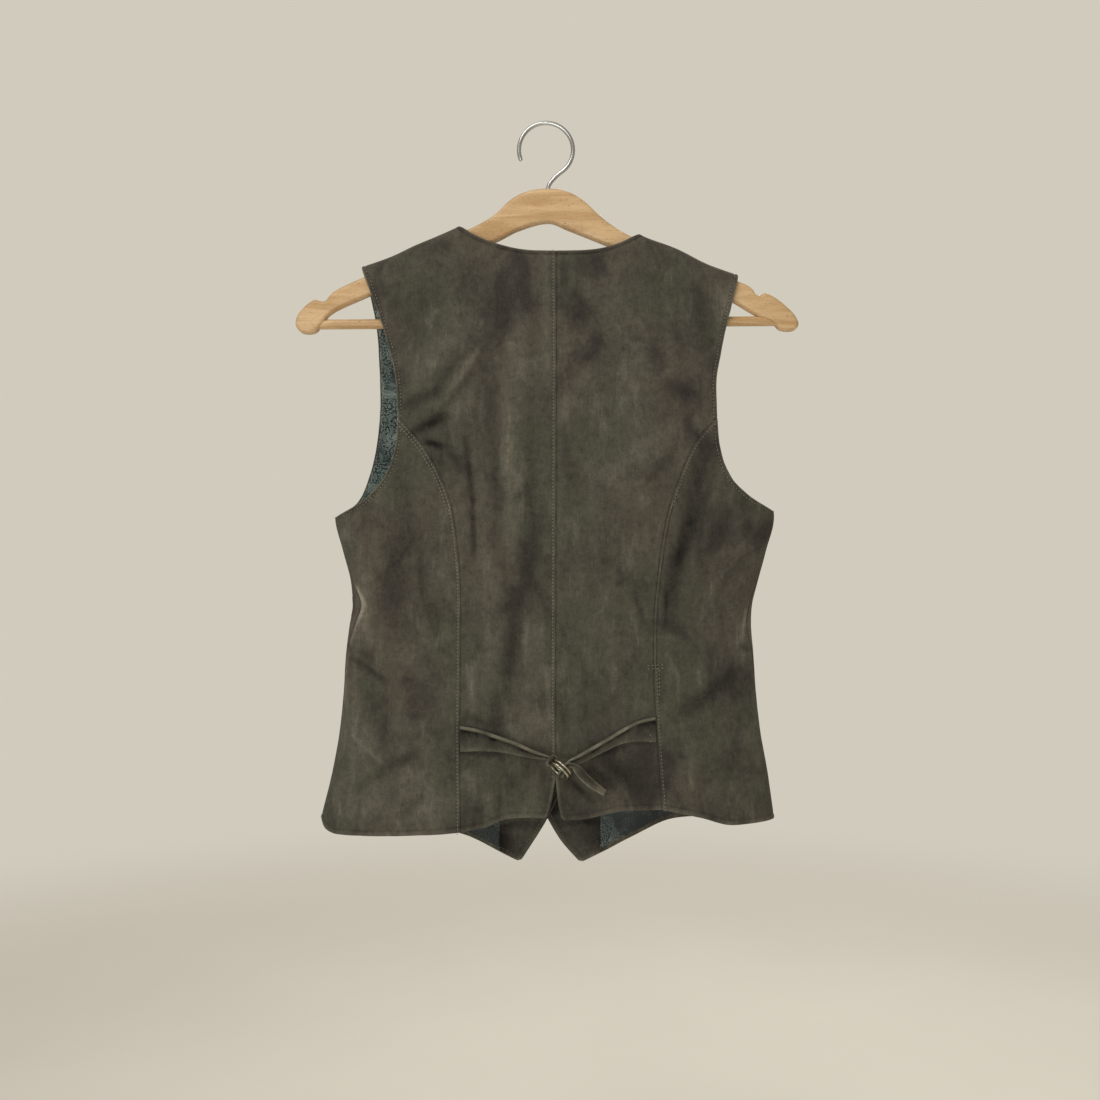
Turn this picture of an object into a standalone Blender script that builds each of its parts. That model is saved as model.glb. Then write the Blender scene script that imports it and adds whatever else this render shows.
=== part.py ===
"""A fitted suede vest hanging, back to the front, on a wooden hanger with a trouser bar.

The origin is the inside top of the hanger's hook, where a rail passes. +Z is up, -Y is the vest's
back and +X is its wearer's right. Tables are in millimetres, and "drop" is the distance below the
origin. Every panel is a grid of points on one garment surface, given a wall. Panels share their
seam lines and stop half a seam gap short of them. A lining or facing takes its panel's points.
"""

import math
from collections import namedtuple

import bmesh
import bpy
import numpy as np
from mathutils import Matrix, Vector

MM = 0.001
WELD = 0.02
SHARP_ANGLE = math.radians(50)

# Walls and gaps
LEATHER = 1.6
FACING = 1.2
LINING = 1.0
SEAM_GAP = 0.3
LAYER_GAP = 0.3

# How far the lining and the facing stay inside the front's edges
ARMHOLE_MARGIN = 1.0
HEM_MARGIN = 4.0
EDGE_MARGIN = 0.8

# The roll of the cloth over the hanger, the reach of the roll, of the depth and of the folds below
# the crest, how full the section's sides are, and how wide a fold's bell is
SHOULDER_ROLL = 10.8
ROLL_REACH = 90.0
DEPTH_REACH = 130.0
SIDE_FULLNESS = 2.6
FOLD_REACH = 40.0
FOLD_SPREAD = 0.6

# Rows and columns of the panels' grids
SEAM_ROWS = 18
VENT_ROWS = 3
CENTRE_COLUMNS = 14
SIDE_COLUMNS = 11
LINING_COLUMNS = 12
FACING_COLUMNS = 4

# Where the rows from the crest to the armhole's foot lie: close together over the hanger's arm
CREST_ROWS = (0.0, 0.007, 0.025, 0.06, 0.13, 0.27, 0.44, 0.62, 0.81, 1.0)

# How far from the side seam the first columns of a back side and of a front lie
BACK_COLUMNS = (0.0, 1.5, 5.0, 12.0)
FRONT_COLUMNS = (0.0, 1.2, 5.0, 13.0)

# The share of the facing's length that lies above the foot of the armhole
FACING_SPLIT = 0.42

# The closing: the right front laps over the left one
CLOSING_X = 2.0
LAP_STEP = 3.6
LAP_REACH = (18.0, 40.0)
BUTTON_DROPS = (348.0, 428.0, 508.0, 588.0)
BUTTON_RADIUS = 7.5
BUTTON_THICKNESS = 3.0
BUTTON_RIM = 0.8

# Hanger and rings. The rings' centre is given as x, drop and y.
ARM_THICKNESS = 12.0
ARM_ROUNDING = 4.2
BAR_RADIUS = 4.5
BAR_ENDS = ((-218.0, 183.7), (221.0, 180.4))
HOOK_WIRE = 1.9
HOOK_RADIUS = 23.0
HOOK_STEM_X = 2.0
HOOK_STEM_DROPS = (60.3, 54.0)
HOOK_ARC = range(-64, 206, 10)
RING_RADIUS = 10.0
RING_WIRE = 1.1
RING_SPACING = 3.4
RING_CENTRE = (12.7, 584.2, -44.8)
RING_SLANT = math.radians(42)
RING_TILT = math.radians(22)
TIE_COLUMNS = 3
TIE_ROWS_LEFT = 16
TIE_ROWS_RIGHT = 42

# The loop that holds the rings: its half lengths, width, wall, sides and place past the rings
LOOP_HALF_LONG = 5.2
LOOP_HALF_SHORT = 3.3
LOOP_WIDTH = 6.0
LOOP_WALL = 1.3
LOOP_SIDES = 20
LOOP_SHIFT = 0.4


def table(columns, *rows):
    """Rows of numbers under named columns, as a named tuple of arrays."""
    names = columns.split()
    return namedtuple("Table", names)(*np.array(rows, float).T)


# The sides of the section, seen from behind. Above the underarm they lie outside the armholes.
# wrap is how far the front's edge rolls round onto the back before it meets the side seam.
SIDES = table(
    "drop left right wrap_left wrap_right",
    (60, -170, 178, 0.6, 0.6),
    (140, -176, 184, 0.6, 0.6),
    (220, -181, 192, 0.6, 0.6),
    (300, -187, 201, 0.6, 0.6),
    (345, -192, 208, 0.6, 0.6),
    (361, -193.6, 209.5, 0.6, 0.6),
    (391, -186.7, 202.4, 0.8, 0.8),
    (420, -179.4, 194.6, 2.2, 1.4),
    (442, -178.0, 189.4, 9.0, 3.5),
    (458, -180.3, 188.6, 5.5, 4.5),
    (483, -183.5, 190.4, 1.6, 1.8),
    (520, -185.8, 192.8, 0.6, 0.6),
    (557, -189.5, 196.9, 0.6, 0.6),
    (593, -195.9, 203.3, 0.6, 0.6),
    (639, -207.0, 209.8, 0.6, 0.6),
    (720, -222.0, 222.0, 0.6, 0.6),
)

# How deep the back and the front stand from the side seams' plane, down the middle of the garment
DEPTHS = table(
    "drop back front",
    (60, 12, 12),
    (110, 15, 14),
    (170, 23, 22),
    (240, 31, 32),
    (300, 34, 38),
    (360, 34, 39),
    (428, 29, 33),
    (460, 27, 30),
    (500, 28, 31),
    (560, 31, 33),
    (600, 34, 34),
    (650, 37, 34),
    (720, 39, 35),
)

# The crest of the cloth over the hanger's arms, and across the neck between them
CREST = table(
    "x drop",
    (-230, 166),
    (-169.1, 131.6),
    (-140.7, 121.0),
    (-119.6, 111.0),
    (-99.7, 102.7),
    (-80.0, 94.0),
    (-40, 76),
    (3, 66),
    (46, 78),
    (86.0, 101.3),
    (121.1, 114.8),
    (147.0, 127.9),
    (176.2, 138.9),
    (240, 172),
)

# Drag folds and waves: a ridge has a plus height, a trough a minus one. side is -1 on the back.
FOLDS = table(
    "side x0 drop0 x1 drop1 width height",
    (-1, -122, 284, -84, 250, 8, 2.6),
    (-1, -84, 250, -58, 200, 8, 2.4),
    (-1, -122, 262, -78, 214, 7, -2.2),
    (-1, -120, 288, -86, 272, 5, -2.4),
    (-1, -66, 322, -63, 388, 6, -1.4),
    (-1, -26, 400, -28, 545, 12, -2.2),
    (-1, -66, 478, -68, 545, 8, 1.4),
    (-1, -2, 410, -4, 530, 7, 1.2),
    (-1, 139, 305, 117, 434, 8, -2.8),
    (-1, 158, 330, 148, 400, 9, 1.6),
    (-1, 178, 498, 122, 538, 8, -2.4),
    (-1, 170, 518, 128, 556, 8, 1.6),
    (-1, 60, 400, 48, 500, 14, -1.6),
    (-1, -179, 487, -148, 510, 7, -2.2),
    (-1, -176, 557, -144, 583, 6, 1.6),
    (-1, -146, 572, -124, 588, 9, -1.8),
    (-1, -108, 604, -138, 636, 7, -2.2),
    (-1, -100, 585, -92, 660, 20, 3.5),
    (-1, -40, 596, -40, 650, 9, -3.2),
    (-1, 60, 590, 66, 650, 16, -2.4),
    (-1, 128, 580, 134, 650, 16, 2.4),
    (-1, 100, 450, 150, 442, 8, -1.6),
    (-1, -150, 420, -110, 428, 8, -1.6),
    (1, -120, 300, -70, 350, 14, 2.6),
    (1, -150, 380, -86, 400, 9, -2.0),
    (1, 128, 296, 78, 344, 14, 2.6),
    (1, 160, 372, 96, 396, 9, -2.0),
    (1, -96, 420, -100, 640, 16, 2.4),
    (1, 104, 430, 108, 640, 16, 2.4),
    (1, -150, 470, -110, 520, 9, -2.0),
    (1, 158, 476, 118, 524, 9, -2.0),
    (1, -152, 590, -148, 650, 14, -2.4),
    (1, 158, 590, 154, 650, 14, -2.4),
)

# Seam and edge lines of the panels, each as x and drop
SHOULDER_LEFT = ((-169.1, 131.6), (-140.7, 121.0), (-119.6, 111.0), (-99.7, 102.7), (-80.0, 94.0))
SHOULDER_RIGHT = ((176.2, 138.9), (147.0, 127.9), (121.1, 114.8), (104.0, 108.4), (86.0, 101.3))
NECK_LEFT = ((-80.0, 94.0), (-64.0, 104.3), (-45.8, 111.5), (-22.0, 117.2), (9.3, 118.8))
NECK_RIGHT = ((86.0, 101.3), (70.2, 109.8), (57.9, 114.1), (39.8, 117.6), (9.3, 118.8))
CENTRE_SEAM = ((9.3, 118.8), (9.6, 202.0), (9.2, 364.0), (8.6, 594.0))
VENT_LEFT = ((8.6, 594.0), (6.6, 606.0), (3.4, 620.0), (0.4, 629.8))
VENT_RIGHT = ((8.6, 594.0), (9.8, 606.0), (12.0, 620.0), (14.4, 631.4))
ARMHOLE_BACK_LEFT = (
    (-169.1, 131.6),
    (-157.2, 163.3),
    (-143.4, 203.9),
    (-135.3, 237.5),
    (-133.5, 270.8),
)
UNDERARM_BACK_LEFT = (
    (-133.5, 270.8),
    (-134.3, 289.4),
    (-141.9, 317.8),
    (-163.5, 344.6),
    (-193.6, 361.1),
)
ARMHOLE_BACK_RIGHT = (
    (176.2, 138.9),
    (168.5, 171.0),
    (159.5, 209.7),
    (153.9, 243.3),
    (154.2, 272.0),
)
UNDERARM_BACK_RIGHT = (
    (154.2, 272.0),
    (157.1, 297.9),
    (166.0, 324.0),
    (181.0, 339.5),
    (209.5, 355.5),
)
PRINCESS_LEFT = (
    (-133.5, 270.8),
    (-118.4, 287.0),
    (-98.3, 316.8),
    (-85.5, 348.1),
    (-79.6, 385.0),
    (-76.5, 430.0),
    (-77.0, 545.0),
    (-75.9, 642.4),
)
PRINCESS_RIGHT = (
    (154.2, 272.0),
    (136.0, 292.0),
    (120.9, 323.9),
    (109.8, 356.0),
    (101.8, 402.0),
    (96.8, 480.0),
    (99.2, 550.0),
    (104.1, 623.3),
)
HEM_CENTRE_LEFT = (
    (-75.9, 642.4),
    (-54.2, 638.0),
    (-36.0, 630.9),
    (-18.0, 629.4),
    (0.4, 629.8),
)
HEM_CENTRE_RIGHT = ((104.1, 623.3), (80.0, 623.2), (56.8, 626.2), (36.0, 630.4), (14.4, 631.4))
HEM_SIDE_LEFT = (
    (-207.0, 637.0),
    (-202.6, 643.4),
    (-189.0, 648.2),
    (-125.6, 646.4),
    (-75.9, 642.4),
)
HEM_SIDE_RIGHT = (
    (209.6, 637.0),
    (196.0, 637.6),
    (170.0, 638.8),
    (138.0, 630.0),
    (104.1, 623.3),
)
ARMHOLE_FRONT_LEFT = (
    (-169.1, 131.6),
    (-159.7, 168.0),
    (-155.2, 210.0),
    (-155.0, 252.0),
    (-157.6, 286.0),
    (-165.0, 321.0),
    (-176.0, 347.0),
    (-193.6, 361.1),
)
ARMHOLE_FRONT_RIGHT = (
    (176.2, 138.9),
    (166.0, 172.0),
    (158.0, 212.0),
    (155.0, 252.0),
    (160.0, 286.0),
    (173.0, 321.0),
    (188.0, 342.0),
    (209.5, 355.5),
)
FACING_LINE_LEFT = (
    (-119.6, 111.0),
    (-104.0, 150.0),
    (-72.0, 236.0),
    (-47.0, 330.0),
    (-43.8, 430.0),
    (-43.8, 676.4),
)
FACING_LINE_RIGHT = (
    (121.1, 114.8),
    (108.0, 152.0),
    (80.0, 236.0),
    (56.0, 330.0),
    (51.2, 430.0),
    (51.2, 677.0),
)
FRONT_EDGE_LEFT = (
    (-80.0, 94.0),
    (-62.0, 150.0),
    (-30.0, 232.0),
    (4.0, 306.0),
    (16.0, 338.0),
    (17.0, 380.0),
    (17.0, 590.0),
    (12.0, 622.0),
    (0.6, 646.0),
    (-13.0, 668.0),
    (-24.7, 685.6),
)
FRONT_EDGE_RIGHT = (
    (86.0, 101.3),
    (68.0, 154.0),
    (36.0, 234.0),
    (2.0, 306.0),
    (-12.0, 338.0),
    (-13.0, 380.0),
    (-13.0, 590.0),
    (-9.0, 622.0),
    (1.8, 646.0),
    (18.0, 671.0),
    (32.6, 687.4),
)
HEM_FRONT_LEFT = ((-207.0, 637.0), (-165.0, 645.0), (-120.0, 650.0), (-78.6, 659.4), (-43.8, 676.4))
POINT_LEFT = ((-43.8, 676.4), (-34.0, 681.2), (-24.7, 685.6))
HEM_FRONT_RIGHT = ((209.6, 637.0), (165.0, 640.0), (122.7, 643.4), (79.4, 662.6), (51.2, 677.0))
POINT_RIGHT = ((51.2, 677.0), (42.0, 682.0), (32.6, 687.4))

# Ties: the upper and lower edge of each, with how far each edge stands off the back
TIE_LEFT = table(
    "x_up drop_up out_up x_low drop_low out_low",
    (-76.4, 548.4, 1.3, -76.4, 571.6, 1.3),
    (-60.1, 551.1, 3.6, -60.3, 570.6, 1.8),
    (-43.7, 555.9, 6.6, -46.6, 570.5, 3.4),
    (-26.0, 561.7, 9.6, -32.0, 572.0, 6.2),
    (-9.7, 568.3, 11.4, -16.0, 574.6, 9.0),
    (3.0, 572.8, 13.6, 0.2, 575.9, 13.4),
)
TIE_RIGHT = table(
    "x_up drop_up out_up x_low drop_low out_low",
    (97.9, 540.7, 1.3, 98.6, 562.9, 1.3),
    (83.0, 543.7, 3.6, 81.0, 562.2, 1.8),
    (69.1, 549.9, 6.6, 66.6, 564.2, 3.6),
    (55.4, 557.6, 9.4, 53.4, 569.6, 6.4),
    (41.7, 564.9, 11.0, 42.2, 574.6, 8.6),
    (28.3, 572.3, 11.2, 31.0, 580.0, 10.4),
    (19.4, 577.4, 10.6, 22.6, 582.4, 10.6),
    (13.2, 584.4, 10.8, 16.6, 588.6, 10.8),
    (10.6, 588.0, 13.5, 14.2, 591.8, 13.5),
    (13.2, 584.4, 15.9, 16.4, 588.4, 15.9),
    (19.6, 577.8, 16.1, 22.6, 582.2, 16.1),
    (28.4, 580.2, 15.4, 24.8, 586.0, 15.2),
    (36.2, 587.8, 13.4, 30.6, 593.4, 12.8),
    (43.6, 595.2, 11.0, 38.2, 600.4, 10.0),
    (53.6, 604.0, 8.0, 50.6, 608.6, 7.0),
)

# The hanger's body: its upper edge from the left tip to the right one, and its lower edge back
ARM_TOP = (
    (-224.5, 171.0),
    (-217.5, 164.6),
    (-211.6, 161.4),
    (-207.0, 162.8),
    (-202.4, 162.4),
    (-198.6, 158.0),
    (-195.5, 154.9),
    (-189.0, 150.8),
    (-177.5, 145.4),
    (-166.5, 140.4),
    (-140.7, 125.8),
    (-119.6, 115.6),
    (-99.7, 107.4),
    (-84.0, 101.6),
    (-66.0, 94.6),
    (-48.0, 84.0),
    (-30.0, 68.0),
    (-12.0, 60.6),
    (14.0, 60.6),
    (32.0, 68.6),
    (52.0, 86.6),
    (70.0, 99.0),
    (90.0, 108.6),
    (121.1, 119.6),
    (147.0, 132.6),
    (176.7, 144.8),
    (184.0, 147.8),
    (189.6, 152.0),
    (192.6, 156.4),
    (196.2, 157.6),
    (200.6, 155.2),
    (206.1, 157.2),
    (213.0, 161.4),
    (221.0, 168.0),
    (229.0, 176.6),
)
ARM_BOTTOM = (
    (231.6, 184.6),
    (227.6, 189.2),
    (215.0, 188.8),
    (209.0, 183.4),
    (191.7, 174.9),
    (171.1, 162.8),
    (110.0, 134.0),
    (54.0, 110.4),
    (20.3, 96.9),
    (3.0, 90.4),
    (-24.8, 97.2),
    (-44.8, 107.2),
    (-100.0, 130.6),
    (-161.9, 157.3),
    (-198.3, 174.8),
    (-206.0, 184.8),
    (-212.0, 191.4),
    (-224.0, 191.6),
    (-229.4, 185.0),
    (-228.6, 177.4),
)


def smooth(places, values, at):
    """A smooth curve with no overshoot through a table's column, read at places in an array."""
    secants = np.diff(values) / np.maximum(np.diff(places), 1e-9)
    before, after = np.r_[secants[0], secants], np.r_[secants, secants[-1]]
    steepest = 3 * np.minimum(np.abs(before), np.abs(after)) * (before * after > 0)
    slopes = np.clip(np.gradient(values, places), -steepest, steepest)
    at = np.clip(at, places[0], places[-1])
    i = np.clip(np.searchsorted(places, at, side="right") - 1, 0, len(places) - 2)
    step = places[i + 1] - places[i]
    f = (at - places[i]) / step
    g = 1 - f
    ends = values[i] * (1 + 2 * f) * g * g + values[i + 1] * (3 - 2 * f) * f * f
    return ends + step * f * g * (slopes[i] * g - slopes[i + 1] * f)


def ease(f):
    f = np.clip(f, 0, 1)
    return f * f * (3 - 2 * f)


def line(points, shares):
    """Points at these shares of the length of a smooth line through the given ones."""
    points = np.array(points, float)
    lengths = np.linalg.norm(np.diff(points, axis=0), axis=1)
    run = np.concatenate([[0], np.cumsum(lengths)])
    at = np.asarray(shares) * run[-1]
    return np.stack([smooth(run, points[:, k], at) for k in range(points.shape[1])], axis=-1)


def even(count):
    return np.linspace(0, 1, count + 1)


def joined(*lines):
    return np.concatenate([lines[0]] + [part[1:] for part in lines[1:]])


def patch(top, bottom, left, right, s):
    """The grid of points between four edges that share their corners (a Coons patch).

    left and right hold a point a row, top and bottom are lines, and s says where each row's
    columns lie, from 0 at the left to 1 at the right."""
    t = even(len(left) - 1)[:, None, None]
    across = (1 - t) * line(top, s) + t * line(bottom, s)
    s = s[..., None]
    down = (1 - s) * left[:, None] + s * right[:, None]
    first, last = (1 - s) * left[0] + s * right[0], (1 - s) * left[-1] + s * right[-1]
    return across + down - (1 - t) * first - t * last


def columns(left, right, near, count):
    """Places from 0 to 1 in each row: the near ones at these distances from the left, then even."""
    width = np.linalg.norm(right - left, axis=1)[:, None]
    near = near / width
    rest = near[:, -1:] + (1 - near[:, -1:]) * even(count + 1 - near.shape[1])[None, 1:]
    return np.concatenate([near, rest], axis=1)


def folds(side, x, drop):
    """How far the drag folds and waves raise the cloth at each place."""
    total = np.zeros_like(x)
    for fold_side, x0, drop0, x1, drop1, width, height in zip(*FOLDS):
        length = math.hypot(x1 - x0, drop1 - drop0)
        along = ((x - x0) * (x1 - x0) + (drop - drop0) * (drop1 - drop0)) / length
        across = ((x - x0) * (drop1 - drop0) - (drop - drop0) * (x1 - x0)) / length
        past = along - np.clip(along, 0, length)
        bell = np.exp(-(across**2 + past**2) / (2 * (FOLD_SPREAD * width) ** 2))
        swell = np.sin(math.pi * (0.25 + 0.5 * np.clip(along / length, 0, 1)))
        total += np.where(side == fold_side, height * bell * swell, 0)
    return total


def surface(side, x, drop):
    """Points of the garment's outer surface. Past a side or the crest they roll to the other side."""
    x, drop = np.array(x, float), np.array(drop, float)
    side = np.full(x.shape, float(side))
    left = smooth(SIDES.drop, SIDES.left, drop)
    right = smooth(SIDES.drop, SIDES.right, drop)
    side = np.where((x < left) | (x > right), -side, side)
    x = np.where(x < left, 2 * left - x, np.where(x > right, 2 * right - x, x))
    crest = smooth(CREST.x, CREST.drop, x)
    side = np.where(drop < crest, -side, side)
    drop = np.where(drop < crest, 2 * crest - drop, drop)
    below = drop - crest
    across = np.clip(np.abs(2 * x - left - right) / (right - left), 0, 1)
    lens = np.sqrt(1 - across**SIDE_FULLNESS)
    roll = np.sqrt(1 - (1 - np.clip(below / SHOULDER_ROLL, 0, 1)) ** 2)
    full = np.where(
        side < 0,
        smooth(DEPTHS.drop, DEPTHS.back, drop),
        smooth(DEPTHS.drop, DEPTHS.front, drop),
    )
    depth = SHOULDER_ROLL * roll * (1 + ease(below / ROLL_REACH) * (lens - 1))
    depth += (full - SHOULDER_ROLL) * ease(below / DEPTH_REACH) * lens
    depth += folds(side, x, drop) * ease(below / FOLD_REACH) * np.clip(2 * lens, 0, 1)
    return np.stack([x, side * depth, -drop], axis=-1)


def normals(side, x, drop, step=0.15):
    """Outward unit normals of the surface, from its slopes to either side of each point."""
    a = surface(side, x + step, drop) - surface(side, x - step, drop)
    b = surface(side, x, drop + step) - surface(side, x, drop - step)
    n = np.cross(a, b) * side
    return n / np.linalg.norm(n, axis=-1, keepdims=True)


class Panel:
    """A grid of points on the garment, and their outward normals, in millimetres."""

    def __init__(self, side, grid, lap=None):
        x, drop = grid[..., 0], grid[..., 1]
        self.points = surface(side, x, drop)
        self.normals = normals(side, x, drop)
        if lap is not None:
            self.points = self.points + self.normals * lap(x)[..., None]

    def part(self, first=0, last=None):
        """The columns from first to last, as a panel of their own."""
        piece = Panel.__new__(Panel)
        end = None if last is None else last + 1
        piece.points = self.points[:, first:end].copy()
        piece.normals = self.normals[:, first:end].copy()
        return piece

    def trimmed(self, left=0.0, right=0.0, top=0.0, bottom=0.0):
        """The panel with its edge points moved in along the surface, by these distances."""
        piece = self.part()
        for axis, edge, inner, cut in (
            (1, 0, 1, left),
            (1, -1, -2, right),
            (0, 0, 1, top),
            (0, -1, -2, bottom),
        ):
            if not cut:
                continue
            points = np.moveaxis(piece.points, axis, 0)
            inward = points[inner] - points[edge]
            length = np.linalg.norm(inward, axis=-1, keepdims=True)
            points[edge] += inward * np.minimum(cut / length, 0.8)
        return piece


def material(name, colour, roughness, metallic=0.0):
    made = bpy.data.materials.new(name)
    made.use_nodes = True
    shader = made.node_tree.nodes["Principled BSDF"]
    shader.inputs["Base Color"].default_value = (*colour, 1)
    shader.inputs["Roughness"].default_value = roughness
    shader.inputs["Metallic"].default_value = metallic
    made.diffuse_color = (*colour, 1)
    return made


def clear_scene():
    for old in list(bpy.data.objects):
        bpy.data.objects.remove(old)


def collection(name):
    made = bpy.data.collections.new(name)
    bpy.context.scene.collection.children.link(made)
    return made


def add(name, mesh, finish, group):
    made = bpy.data.objects.new(name, mesh)
    mesh.materials.append(finish)
    group.objects.link(made)
    return made


def move_to(made, group):
    """Puts an object in this collection alone."""
    for old in made.users_collection:
        old.objects.unlink(made)
    group.objects.link(made)


def shade_round(mesh):
    mesh.shade_smooth()
    mesh.set_sharp_from_angle(angle=SHARP_ANGLE)


def wall(name, outer, inner, finish, group):
    """A closed wall between two grids of points of the same size."""
    rows, columns = outer.shape[0] - 1, outer.shape[1] - 1
    bm = bmesh.new()
    bmesh.ops.create_grid(bm, x_segments=columns, y_segments=rows, size=0.5)
    base = list(bm.faces)
    grown = bmesh.ops.extrude_face_region(bm, geom=base, use_keep_orig=True)
    lifted = {v for v in grown["geom"] if isinstance(v, bmesh.types.BMVert)}
    for v in bm.verts:
        column = round((v.co.x + 0.5) * columns)
        row = round((0.5 - v.co.y) * rows)
        layer = inner if v in lifted else outer
        v.co = Vector(layer[row, column]) * MM
    bmesh.ops.recalc_face_normals(bm, faces=bm.faces)
    mesh = bpy.data.meshes.new(name)
    bm.to_mesh(mesh)
    bm.free()
    made = add(name, mesh, finish, group)
    shade_round(mesh)
    return made


def cloth(name, panel, thickness, finish, group, inset=0.0):
    """A panel's wall, from inset below the garment's outer surface inwards."""
    outer = panel.points - panel.normals * inset
    inner = panel.points - panel.normals * (inset + thickness)
    return wall(name, outer, inner, finish, group)


def side_seam(hand, top, bottom):
    """The side seam as the back has it, and as the front has it where its edge rolls round."""
    drops = np.linspace(top, bottom, SEAM_ROWS + 1)
    edge = smooth(SIDES.drop, getattr(SIDES, hand), drops)
    roll = smooth(SIDES.drop, getattr(SIDES, f"wrap_{hand}"), drops)
    inward = 1 if hand == "left" else -1
    back = np.stack([edge + inward * roll, drops], axis=1)
    front = np.stack([edge - inward * roll, drops], axis=1)
    return back, front, roll


def back_panels(suede, group):
    half = SEAM_GAP / 2
    upper, lower = np.array(CREST_ROWS), even(SEAM_ROWS)
    seam_row_count = len(upper) - 1 + SEAM_ROWS - VENT_ROWS
    share = (len(upper) - 1) / seam_row_count
    below = share + (1 - share) * even(SEAM_ROWS - VENT_ROWS)[1:]
    seam_rows = np.concatenate([upper * share, below])
    for hand, shoulder, neck, armhole, underarm, princess, hem, side_hem, vent in (
        (
            "left",
            SHOULDER_LEFT,
            NECK_LEFT,
            ARMHOLE_BACK_LEFT,
            UNDERARM_BACK_LEFT,
            PRINCESS_LEFT,
            HEM_CENTRE_LEFT,
            HEM_SIDE_LEFT,
            VENT_LEFT,
        ),
        (
            "right",
            SHOULDER_RIGHT,
            NECK_RIGHT,
            ARMHOLE_BACK_RIGHT,
            UNDERARM_BACK_RIGHT,
            PRINCESS_RIGHT,
            HEM_CENTRE_RIGHT,
            HEM_SIDE_RIGHT,
            VENT_RIGHT,
        ),
    ):
        middle = joined(line(CENTRE_SEAM, seam_rows), line(vent, even(VENT_ROWS)))
        outer = joined(line(armhole, upper), line(princess, lower))
        half_top = even(CENTRE_COLUMNS // 2)
        top = joined(line(shoulder, half_top), line(neck, half_top))
        grid = patch_under(top, hem, outer, middle)
        grid = on_crest(grid, slice(0, CENTRE_COLUMNS // 2 + 1))
        centre = Panel(-1, grid).trimmed(left=half, right=half, top=half)
        cloth(f"back_centre_{hand}", centre, LEATHER, suede, group)

        edge, _, _ = side_seam(hand, underarm[-1][1], side_hem[0][1])
        top = underarm[:0:-1]
        top = (tuple(edge[0]),) + top[1:] + (underarm[0],)
        bottom = (tuple(edge[-1]),) + side_hem[1:]
        seam = line(princess, lower)
        near = np.tile(BACK_COLUMNS, (SEAM_ROWS + 1, 1))
        grid = patch(top, bottom, edge, seam, columns(edge, seam, near, SIDE_COLUMNS))
        side = Panel(-1, grid).trimmed(left=half, right=half)
        cloth(f"back_side_{hand}", side, LEATHER, suede, group)


def on_crest(grid, columns):
    """Puts these columns' first points on the crest of the shoulder."""
    grid[0, columns, 1] = smooth(CREST.x, CREST.drop, grid[0, columns, 0])
    return grid


def patch_under(top, hem, left, right):
    """A patch whose top edge is given as points, one a column, so that its corner is kept."""
    count = len(top) - 1
    s = np.tile(even(count), (len(left), 1))
    grid = patch((top[0], top[-1]), hem, left, right, s)
    t = even(len(left) - 1)[:, None, None]
    straight = line((top[0], top[-1]), even(count))
    return grid + (1 - t) * (top - straight)[None]


def lap(x):
    """How far the right front stands out where it laps over the left one."""
    near, far = LAP_REACH
    return LAP_STEP * ease((CLOSING_X + far - x) / (far - near))


def front_panels(suede, lining, facing, group):
    half = SEAM_GAP / 2
    rows = len(CREST_ROWS) - 1 + SEAM_ROWS
    upper = np.array(CREST_ROWS)
    for hand, shoulder, armhole, facing_line, front_edge, hem, point, over in (
        (
            "left",
            SHOULDER_LEFT,
            ARMHOLE_FRONT_LEFT,
            FACING_LINE_LEFT,
            FRONT_EDGE_LEFT,
            HEM_FRONT_LEFT,
            POINT_LEFT,
            None,
        ),
        (
            "right",
            SHOULDER_RIGHT,
            ARMHOLE_FRONT_RIGHT,
            FACING_LINE_RIGHT,
            FRONT_EDGE_RIGHT,
            HEM_FRONT_RIGHT,
            POINT_RIGHT,
            lap,
        ),
    ):
        _, edge, roll = side_seam(hand, armhole[-1][1], hem[0][1])
        armscye = line(armhole[:-1] + (tuple(edge[0]),), upper)
        outer = joined(armscye, edge)
        split = shoulder.index(facing_line[0])
        row_shares = np.concatenate(
            [upper * FACING_SPLIT, FACING_SPLIT + (1 - FACING_SPLIT) * even(SEAM_ROWS)[1:]]
        )
        boundary = line(facing_line, row_shares)
        roll = np.concatenate([np.full(rows - SEAM_ROWS, roll[0]), roll])[:, None]
        near = np.array(FRONT_COLUMNS)[None] + roll
        near = np.concatenate([np.zeros_like(roll), near], axis=1)
        body = patch(
            shoulder[: split + 1],
            (tuple(edge[-1]),) + hem[1:],
            outer,
            boundary,
            columns(outer, boundary, near, LINING_COLUMNS),
        )
        strip = patch(
            shoulder[split:],
            point,
            boundary,
            line(front_edge, row_shares),
            np.tile(even(FACING_COLUMNS), (rows + 1, 1)),
        )
        grid = on_crest(np.concatenate([body, strip[:, 1:]], axis=1), slice(None))
        panel = Panel(1, grid, over)
        inset = LEATHER + LAYER_GAP
        inside = panel.part(0, LINING_COLUMNS)
        inside = inside.trimmed(left=ARMHOLE_MARGIN, right=half, top=half, bottom=HEM_MARGIN)
        strip_in = panel.part(LINING_COLUMNS)
        strip_in = strip_in.trimmed(left=half, right=EDGE_MARGIN, top=half, bottom=EDGE_MARGIN)
        cloth(f"lining_front_{hand}", inside, LINING, lining, group, inset)
        cloth(f"facing_front_{hand}", strip_in, FACING, facing, group, inset)
        cloth(f"front_{hand}", panel.trimmed(left=half, top=half), LEATHER, suede, group)


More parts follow.
